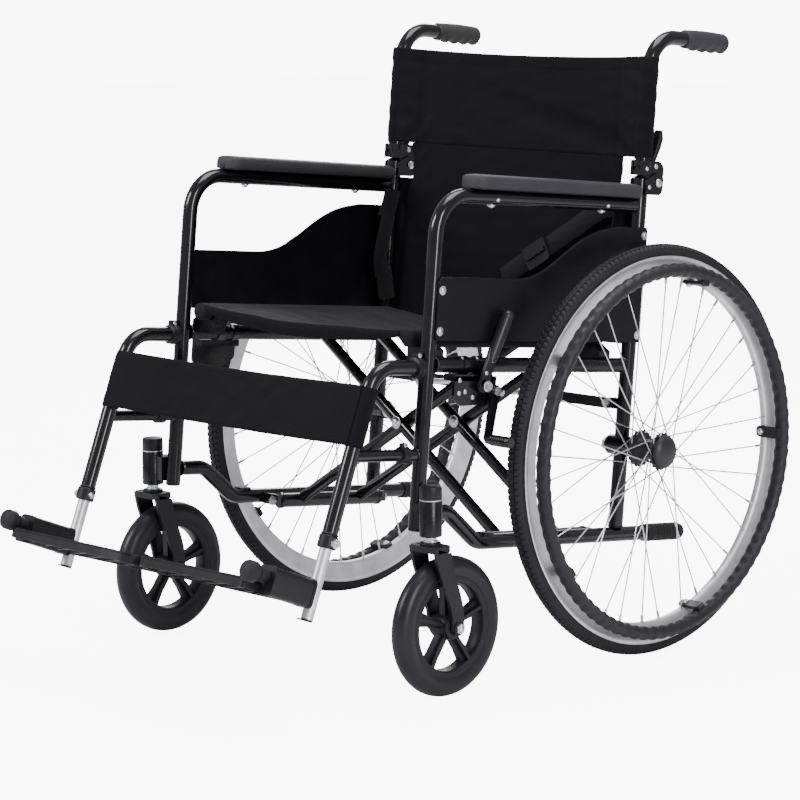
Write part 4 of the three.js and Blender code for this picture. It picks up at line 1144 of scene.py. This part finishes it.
def footplate(side):
    """A thin moulded tray: flat deck, a skirt all round, and slanting ribs below."""
    tip, low, high = 4.5, -23, -9
    outline = rounded([(tip, -24), (252, -14), (252, -124), (60, -113), (tip, -106)], [4, 3, 8, 1, 30], 8)
    deck = slab(outline, high - 3.4, high, "XY", 1.2)
    inner = inset(outline, 2.8)
    n = len(outline)
    points = [(u, v, w) for w in (low, high - 2) for u,
              v in outline] + [(u, v, w) for w in (low, high - 2) for u, v in inner]
    faces = []
    for i in range(n):
        j = (i + 1) % n
        faces += [(i, j, n + j, n + i), (2 * n + i, 3 * n + i, 3 * n + j, 2 * n + j),
                  (i, 2 * n + i, 2 * n + j, j),
                  (n + i, n + j, 3 * n + j, 3 * n + i)]
    skirt = from_lists(points, faces)
    ribs = []
    for direction in ((1, 0.62), (1, -0.62)):
        for a, b in chords(inset(outline, 1.6), direction, 21):
            if (b - a).length < 6:
                continue
            across = Vector((-(b - a).y, (b - a).x)).normalized() * 1.1
            ribs.append(slab([tuple(a - across), tuple(b - across), tuple(b + across), tuple(a + across)],
                             low + 1.2, high - 2, "XY", 0.4))
    grips = []
    for a, b in chords(inset(outline, 9), (0, 1), 13):
        across = Vector((2, 0))
        grips.append(slab([tuple(a - across), tuple(b - across), tuple(b + across), tuple(a + across)],
                          high - 0.6, high + 0.8, "XY", 0.5))
    housing = slab(rounded([(243, -25), (276, -25), (276, 15), (243, 15)], [5, 8, 10, 10], 8), -93, -13, "XZ",
                   2)
    bands = [slab(rounded([(242.4, -25.6), (276.6, -25.6), (276.6, 15.6), (242.4, 15.6)], [5, 8, 10, 10], 8),
                  y, y + 5, "XZ", 0.8) for y in (-93.5, -17.5)]
    build(side, "foot_tray", [deck, skirt, *ribs, *grips, housing, *bands], "plate", "plastic",
          FOOT, replaces=["footplate"])


# ---------------------------------------------------------------- soft goods
def soft(u, v, scale_u, scale_v, seed):
    """Smooth random height from -1 to 1, stretched along one direction."""
    return noise.noise(Vector((u / scale_u, v / scale_v, seed)))


def layer(rows, thickness, closed_rows=False):
    """A closed sheet: rows of (front point, outward direction), with its back set in by the thickness."""
    n, m = len(rows), len(rows[0])
    points = [p for row in rows for p, _ in row]
    points += [tuple(Vector(p) - Vector(d) * thickness) for row in rows for p, d in row]
    k = n * m
    faces = []
    for i in range(n - 1):
        for j in range(m if closed_rows else m - 1):
            q = (j + 1) % m
            a, b, c, d = i * m + j, i * m + q, (i + 1) * m + q, (i + 1) * m + j
            faces += [(a, b, c, d), (k + d, k + c, k + b, k + a)]
    for i in (0, n - 1):
        for j in range(m if closed_rows else m - 1):
            q = (j + 1) % m
            faces.append((i * m + j, i * m + q, k + i * m + q, k + i * m + j))
    if not closed_rows:
        for i in range(n - 1):
            for j in (0, m - 1):
                faces.append((i * m + j, (i + 1) * m + j, k + (i + 1) * m + j, k + i * m + j))
    return from_lists(points, faces)


def stitches(line, normal):
    """A row of short raised stitches along a line of points."""
    pitch, length = 4.6, 3.2
    shapes = []
    travelled = 0.0
    normal = Vector(normal)
    for a, b in zip(line, line[1:]):
        a, b = Vector(a), Vector(b)
        span = (b - a).length
        ahead = (b - a) / max(span, 1e-6)
        side = ahead.cross(normal).normalized() * 0.42
        while travelled < span:
            low, high = a + ahead * travelled, a + ahead * min(travelled + length, span)
            middle = (low + high) / 2 + normal * 0.45
            low, high = low - normal * 0.2, high - normal * 0.2
            points = [low - side, low + side, high + side, high - side, middle - side * 0.8,
                      middle + side * 0.8]
            shapes.append(from_lists(points,
                                     [(0, 1, 2, 3), (0, 4, 5, 1), (2, 5, 4, 3), (1, 5, 2), (0, 3, 4)]))
            travelled += pitch
        travelled -= span
    return shapes


def squashed(piece):
    """Gives the piece a mesh of its own."""
    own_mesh(piece)


def soft_piece(name, shapes, look, body=None, space=LEAN):
    """A piece of cloth, stitching or webbing."""
    return placed(name, shapes, look, body, space, sharp=60)


def frange(low, high, steps):
    return [low + (high - low) * k / steps for k in range(steps + 1)]


SLING_LOW, SLING_HIGH = 428, 577
SEAM_X = 206


def sling_front(x, z):
    """The back panel's front face, in y: slack between the canes, with soft creases."""
    across = 1 - (x / FRAME_X) ** 2
    slack = 7 * across * (0.6 + 0.4 * math.sin(math.pi * min(max((z - 178) / 400, 0), 1)))
    near = max(0, 1 - ((z - (505 - 0.22 * (x + 60))) / 26) ** 2) if x > -120 else 0
    crease = 4.6 * near * near * min((x + 120) / 160, 1) if x > -120 else 0
    gather = 1.1 * soft(x, z, 60, 16, 1.3) + 0.8 * soft(x + 0.6 * z, z - 0.5 * x, 90, 22, 4.1)
    corner = max(0, 1 - math.hypot((abs(x) - 232) / 60, (z - 432) / 55))
    tuck = 2.6 * corner * math.sin((z + abs(x)) / 6.5)
    return -3.0 + slack + crease + gather * min(1, across * 2.4) + tuck


def upper_edge(x, z):
    """Sags the top hem a little between the canes."""
    share = (z - SLING_LOW) / (SLING_HIGH - SLING_LOW)
    return z - 5.5 * share ** 3 * (1 - (x / FRAME_X) ** 2)


def sling_upper():
    """Upper back panel: two layers that open round the canes, with a sleeve on each."""
    xs = frange(-FRAME_X + 1, FRAME_X - 1, 110)
    zs = [SLING_LOW, SLING_LOW + 1.2, *frange(SLING_LOW + 5, SLING_HIGH - 22, 34), SLING_HIGH - 20,
          SLING_HIGH - 17,
          SLING_HIGH - 3, SLING_HIGH - 1, SLING_HIGH]
    front, back = [], []
    for z in zs:
        f, b = [], []
        for x in xs:
            wedge = max(0, abs(x) - SEAM_X) / (FRAME_X - SEAM_X)
            rise = 9.6 * min(1, wedge ** 0.8)
            seam = -1.5 * max(0, 1 - abs(abs(x) - SEAM_X) / 4)
            hem = 0.9 if z > SLING_HIGH - 18.5 else 0
            edge = 1.4 if z in (SLING_LOW, SLING_HIGH) else 0
            y = sling_front(x, z) * (1 - wedge) - 3 * wedge
            pucker = 0.7 * wedge * (1 - wedge) * 4 * math.sin(z / 5.2 + 0.8 * math.sin(x / 9))
            f.append((x, y - rise - hem + edge - seam + pucker, upper_edge(x, z)))
            b.append((x, y + 4.2 + rise + hem - edge + seam - pucker, upper_edge(x, z)))
        front.append(f)
        back.append(b)
    n, m = len(zs), len(xs)
    points = [p for row in front for p in row] + [p for row in back for p in row]
    k, faces = n * m, []
    for i in range(n - 1):
        for j in range(m - 1):
            a, b, c, d = i * m + j, i * m + j + 1, (i + 1) * m + j + 1, (i + 1) * m + j
            faces += [(a, b, c, d), (k + d, k + c, k + b, k + a)]
    for i in (0, n - 1):
        faces += [(i * m + j, i * m + j + 1, k + i * m + j + 1, k + i * m + j) for j in range(m - 1)]
    for j in (0, m - 1):
        faces += [(i * m + j, (i + 1) * m + j, k + (i + 1) * m + j, k + i * m + j) for i in range(n - 1)]
    panel = soft_piece("back_sling_panel", [from_lists(points, faces)], "fabric", "left_back")
    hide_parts("back_sling_upper")
    lines = []
    for x in (-SEAM_X - 5, -SEAM_X + 5, SEAM_X - 5, SEAM_X + 5):
        proud = 2.4 if abs(x) > SEAM_X else 1.2
        line = [(x, sling_front(x, z) * (1 - max(0, abs(x) - SEAM_X) / 54) - proud,
                 upper_edge(x, z)) for z in frange(SLING_LOW + 4, SLING_HIGH - 2, 40)]
        lines += stitches(line, (0, -1, 0))
    for z in (SLING_HIGH - 16, SLING_HIGH - 4):
        line = [(x, sling_front(x, z) - 1.0, upper_edge(x, z)) for x in frange(-SEAM_X + 8, SEAM_X - 8, 80)]
        lines += stitches(line, (0, -1, 0))
    seams = soft_piece("back_sling_stitching", lines, "thread", "left_back")
    squashed(panel)
    squashed(seams)
    for side in SIDES:
        rows = []
        for z in [SLING_LOW, SLING_LOW + 1.5, *frange(SLING_LOW + 5, SLING_HIGH - 5, 42), SLING_HIGH - 1.5,
                  SLING_HIGH]:
            row = []
            for j in range(48):
                a = 2 * math.pi * j / 48
                direction = (math.cos(a), math.sin(a), 0)
                fold = 0.7 * soft(z, 30 * math.sin(a), 9, 12,
                                  7.7) + 0.45 * math.sin(z / 4.6 + 2 * math.sin(a))
                radius = 14.0 + fold - (0.9 if z in (SLING_LOW, SLING_HIGH) else 0)
                row.append(((FRAME_X + radius * direction[0], radius * direction[1], z), direction))
            rows.append(row)
        sleeve = build(side, "sling_sleeve", [layer(rows, 2.0, closed_rows=True)], "back", "fabric",
                       sharp=70)


def lower_edge_x(z):
    """Half width of the back panel below the hinges."""
    if z > 422:
        return 222 - 0.3 * (z - 422)
    if z > 372:
        return 217 + 5 * ((z - 372) / 50) ** 1.5
    return 217 + 9 * math.sin(math.pi / 2 * min(1, (372 - z) / 24)) ** 2


def sling_lower():
    """Lower back panel, and a side hem from its edge to each rear post."""
    low, top = 150, 445
    zs = [low, low + 2, *frange(low + 6, 427.4, 58), 428.2, 432, 438, top - 1.5, top]
    rows = []
    for z in zs:
        half = lower_edge_x(z)
        row = []
        for share in frange(-1, 1, 96):
            x = half * share
            edge_roll = 1.5 * max(0, (abs(share) - 0.965) / 0.035) ** 2
            behind = 4.4 if z > 427.6 else 0
            y = sling_front(x, z) + edge_roll + behind
            side_pull = 2.4 * max(0, abs(share) - 0.72) * math.sin(z / 13 + 4 * share)
            row.append(((x, y + side_pull, z), (0, -1, 0)))
        rows.append(row)
    panel = soft_piece("back_panel_lower", [layer(rows, 3.4)], "fabric", "left_frame")
    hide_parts("back_sling_lower")
    lines = []
    for share in (-0.955, 0.955):
        line = [(lower_edge_x(z) * share, sling_front(lower_edge_x(z) * share, z) - 0.1, z)
                for z in frange(low + 4, 424, 50)]
        lines += stitches(line, (0, -1, 0))
    seams = soft_piece("back_panel_stitching", lines, "thread", "left_frame")
    squashed(panel)
    squashed(seams)
    for side in SIDES:
        zs = [low, low + 1, *frange(low + 6, 366, 30), 371, 372]
        rows = [[((x, 7.2 + 0.4 * soft(x, z, 12, 15, 2.9), z), (0, -1, 0)) for x in frange(223, 254, 10)]
                for z in zs]
        hem = build(side, "panel_side_hem", [layer(rows, 2.0)], "frame", "fabric")


CALF_LOW, CALF_HIGH = 203, 288


def calf_strap():
    """A wide band in front of the legs, sewn into a loop round each of them."""
    def droop(x, z):
        return -2.0 * (1 - (x / FRAME_X) ** 2) * (1 if z > 245 else 0.6)

    def face(x, z):
        give = 5.5 * max(0, 1 - (x / 215) ** 2)
        fold = 2.1 * soft(x + z * 1.1, z, 46, 30, 2.2) + 1.3 * soft(x - z, z, 26, 40, 8.4)
        return -14.9 + give + fold * min(1, 2.4 * max(0, 1 - abs(x) / 225))

    zs = [CALF_LOW, CALF_LOW + 1.5, *frange(CALF_LOW + 5, CALF_HIGH - 5, 22), CALF_HIGH - 1.5, CALF_HIGH]
    rows = []
    for z in zs:
        row = []
        for x in frange(-FRAME_X, FRAME_X, 110):
            ease = 1.2 if z in (CALF_LOW, CALF_HIGH) else 0
            row.append(((x, face(x, z) + ease, z + droop(x, z)), (0, -1, 0)))
        rows.append(row)
    band = soft_piece("calf_band", [layer(rows, 3.6)], "fabric", "left_frame", FOOT)
    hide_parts("calf_strap")
    lines = []
    for z in (CALF_LOW + 6, CALF_HIGH - 6):
        lines += stitches([(x, face(x, z) - 0.1, z + droop(x, z)) for x in frange(-236, 236, 90)], (0, -1, 0))
    for x in (-228, 228):
        lines += stitches([(x, face(x, z) - 0.1, z + droop(x, z))
                           for z in frange(CALF_LOW + 3, CALF_HIGH - 3, 20)],
                          (0, -1, 0))
    seams = soft_piece("calf_band_stitching", lines, "thread", "left_frame", FOOT)
    squashed(band)
    squashed(seams)
    for side in SIDES:
        rows = []
        for z in [CALF_LOW, CALF_LOW + 1.5, *frange(CALF_LOW + 5, CALF_HIGH - 5, 24), CALF_HIGH - 1.5,
                  CALF_HIGH]:
            row = []
            for j in range(56):
                a = 2 * math.pi * j / 56
                direction = (math.cos(a), math.sin(a), 0)
                shift = 3.5 * max(0, (z - 276) / 12) ** 2 * (1 if math.sin(a) > 0 else 0.5)
                fold = 0.5 * soft(z, 30 * math.sin(a), 10, 12, 3.7)
                radius = 13.0 + fold - (0.7 if z in (CALF_LOW, CALF_HIGH) else 0)
                row.append(((FRAME_X + radius * direction[0], radius * direction[1] + shift, z), direction))
            rows.append(row)
        loop = build(side, "calf_loop", [layer(rows, 2.0, closed_rows=True)], "frame", "fabric", FOOT,
                     sharp=70)


def seat_top(x, y):
    """Height of the seat's upper face: a sling between the rails, deepest a little behind the middle."""
    low, high = SEAT_RAIL_Y
    share = (y - low) / (high - low)
    across = 1 - min(1, abs(x) / RAIL_X) ** 2
    sag = (9 + 6 * share + 12 * math.sin(math.pi * share)) * across
    pull = 2.3 * soft(x, y, 120, 20, 5.5) + 1.7 * soft(x + 0.5 * y, y, 50, 26, 9.1)
    return SEAT_RAIL_Z + 12.8 - sag + pull * min(1, 3 * across)


def seat():
    """Seat sling: one sheet wrapped round both seat rails."""
    low, high = SEAT_RAIL_Y
    ys = [low - 1, low + 0.8, low + 3, *frange(low + 8, high - 6, 64), high - 3, high - 1, high]
    rows = []
    for y in ys:
        shrink = 1.2 if y in (low - 1, high) else 0
        loop = []
        for x in frange(-RAIL_X, RAIL_X, 84):
            loop.append((x, y, seat_top(x, y) - shrink))
        wrap = frange(math.radians(80), math.radians(-150), 22)
        ruffle = 0.7 * soft(y, 0, 12, 1, 6.6)
        for a in wrap:
            r = 12.8 + ruffle - shrink
            loop.append((RAIL_X + r * math.cos(a), y, SEAT_RAIL_Z + r * math.sin(a)))
        loop.append((200, y, seat_top(200, y) - 7))
        for x in frange(193, -193, 60):
            loop.append((x, y, seat_top(x, y) - 4.2 + shrink))
        loop.append((-200, y, seat_top(-200, y) - 7))
        for a in reversed(wrap):
            r = 12.8 + ruffle - shrink
            loop.append((-RAIL_X - r * math.cos(a), y, SEAT_RAIL_Z + r * math.sin(a)))
        rows.append(loop)
    cover = soft_piece("seat_sling", [skin([p for row in rows for p in row], len(rows[0]))], "seat_fabric")
    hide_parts("left_seat_half", "right_seat_half")
    band = seat_front_band()
    lines = []
    for y in (low + 14, low + 22, high - 12):
        lines += stitches([(x, y, seat_top(x, y) + 0.05) for x in frange(-212, 212, 80)], (0, 0, 1))
    for x in (-198, -190, 190, 198):
        lines += stitches([(x, y, seat_top(x, y) + 0.05) for y in frange(low + 4, high - 4, 80)], (0, 0, 1))
    seams = soft_piece("seat_stitching", lines, "thread")
    for piece in (cover, band, seams):
        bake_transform(piece)


def seat_front_band():
    """The seat's turned-down front hem; it hangs lowest in the middle."""
    low = SEAT_RAIL_Y[0]
    rows = []
    for x in frange(-206, 206, 90):
        across = 1 - (abs(x) / 206) ** 2.4
        drop = 9 + 11 * across
        top = seat_top(x, low) - 1.0
        row = []
        for share in frange(0, 1, 12):
            swell = 2.4 * math.sin(math.pi * share) + 0.8 * soft(x, 40 * share, 34, 26, 3.9)
            row.append(((x, low - 1.4 - swell, top - drop * share), (0, -1, 0)))
        rows.append(row)
    return soft_piece("seat_front_band", [layer(rows, 3.4)], "fabric")


def belts():
    """Lap belt: each half is sewn to its side at the back of the seat and lies slack."""
    def strap(stations, width, thickness=2.2, across=(0, 1, 0)):
        smooth = []
        for i in range(len(stations) - 1):
            p = [Vector(stations[max(0, min(len(stations) - 1, i + d))]) for d in (-1, 0, 1, 2)]
            for k in range(8):
                t = k / 8
                bend, twist = 2 * p[0] - 5 * p[1] + 4 * p[2] - p[3], 3 * p[1] - p[0] - 3 * p[2] + p[3]
                smooth.append(0.5 * ((2 * p[1]) + (p[2] - p[0]) * t + bend * t * t + twist * t ** 3))
        smooth.append(Vector(stations[-1]))
        h, t = width / 2, thickness / 2
        section = [(-h, -t * 0.5), (-h * 0.97, -t), (h * 0.97, -t), (h, -t * 0.5), (h, t * 0.5),
                   (h * 0.97, t),
                   (-h * 0.97, t), (-h, t * 0.5)]
        return sweep(smooth, section, first_side=across)

    far = [strap([(-236, -23, 352), (-238, -26, 330), (-240, -32, 306)], 34),
           strap([(-237, -28, 312), (-237, -34, 280), (-237, -40, 245), (-238, -34, 214)], 28),
           strap([(-238, -30, 224), (-237, -26, 204), (-233, -23, 178)], 34)]
    piece = soft_piece("right_lap_belt", far, "webbing", "right_frame")
    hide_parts("right_belt_half")
    near = [strap([(236, -14, 352), (214, -16, 352), (188, -12, 342), (130, -12, 306), (76, -12, 273),
                   (40, -12, 252),
                   (6, -12, 230)], 32, across=(0.55, 0, -0.83)),
            strap([(232, -8, 352), (231, -12, 300), (229, -14, 250), (224, -10, 205)], 30)]
    piece = soft_piece("left_lap_belt", near, "webbing", "left_frame")
    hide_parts("left_belt_half")
    squashed(piece)
    buckle = slab(rounded([(-24, -18), (24, -18), (24, 18), (-24, 18)], 5), -5, 3, "XZ", 1.5)
    slot_bar = box((-20, -8, -3), (20, -3.6, 3), 0.8)
    shapes = [buckle, slot_bar]
    hang = Matrix.Translation((76, -13, 272)) @ Matrix.Rotation(-math.radians(31.5), 4, "Y")
    for shape in shapes:
        bmesh.ops.transform(shape, matrix=hang, verts=shape.verts)
    squashed(build(SIDES[0], "belt_buckle", shapes, "frame", "plastic"))


for half in SIDES:
    side_frame(half)
    back_cane(half)
    link_bar(half)
    rear_wheel(half)
    caster_fork(half)
    caster_wheel(half)
    brake(half)
    foot_slider(half)
    footplate(half)
cross_frame()
sling_upper()
sling_lower()
calf_strap()
seat()
belts()
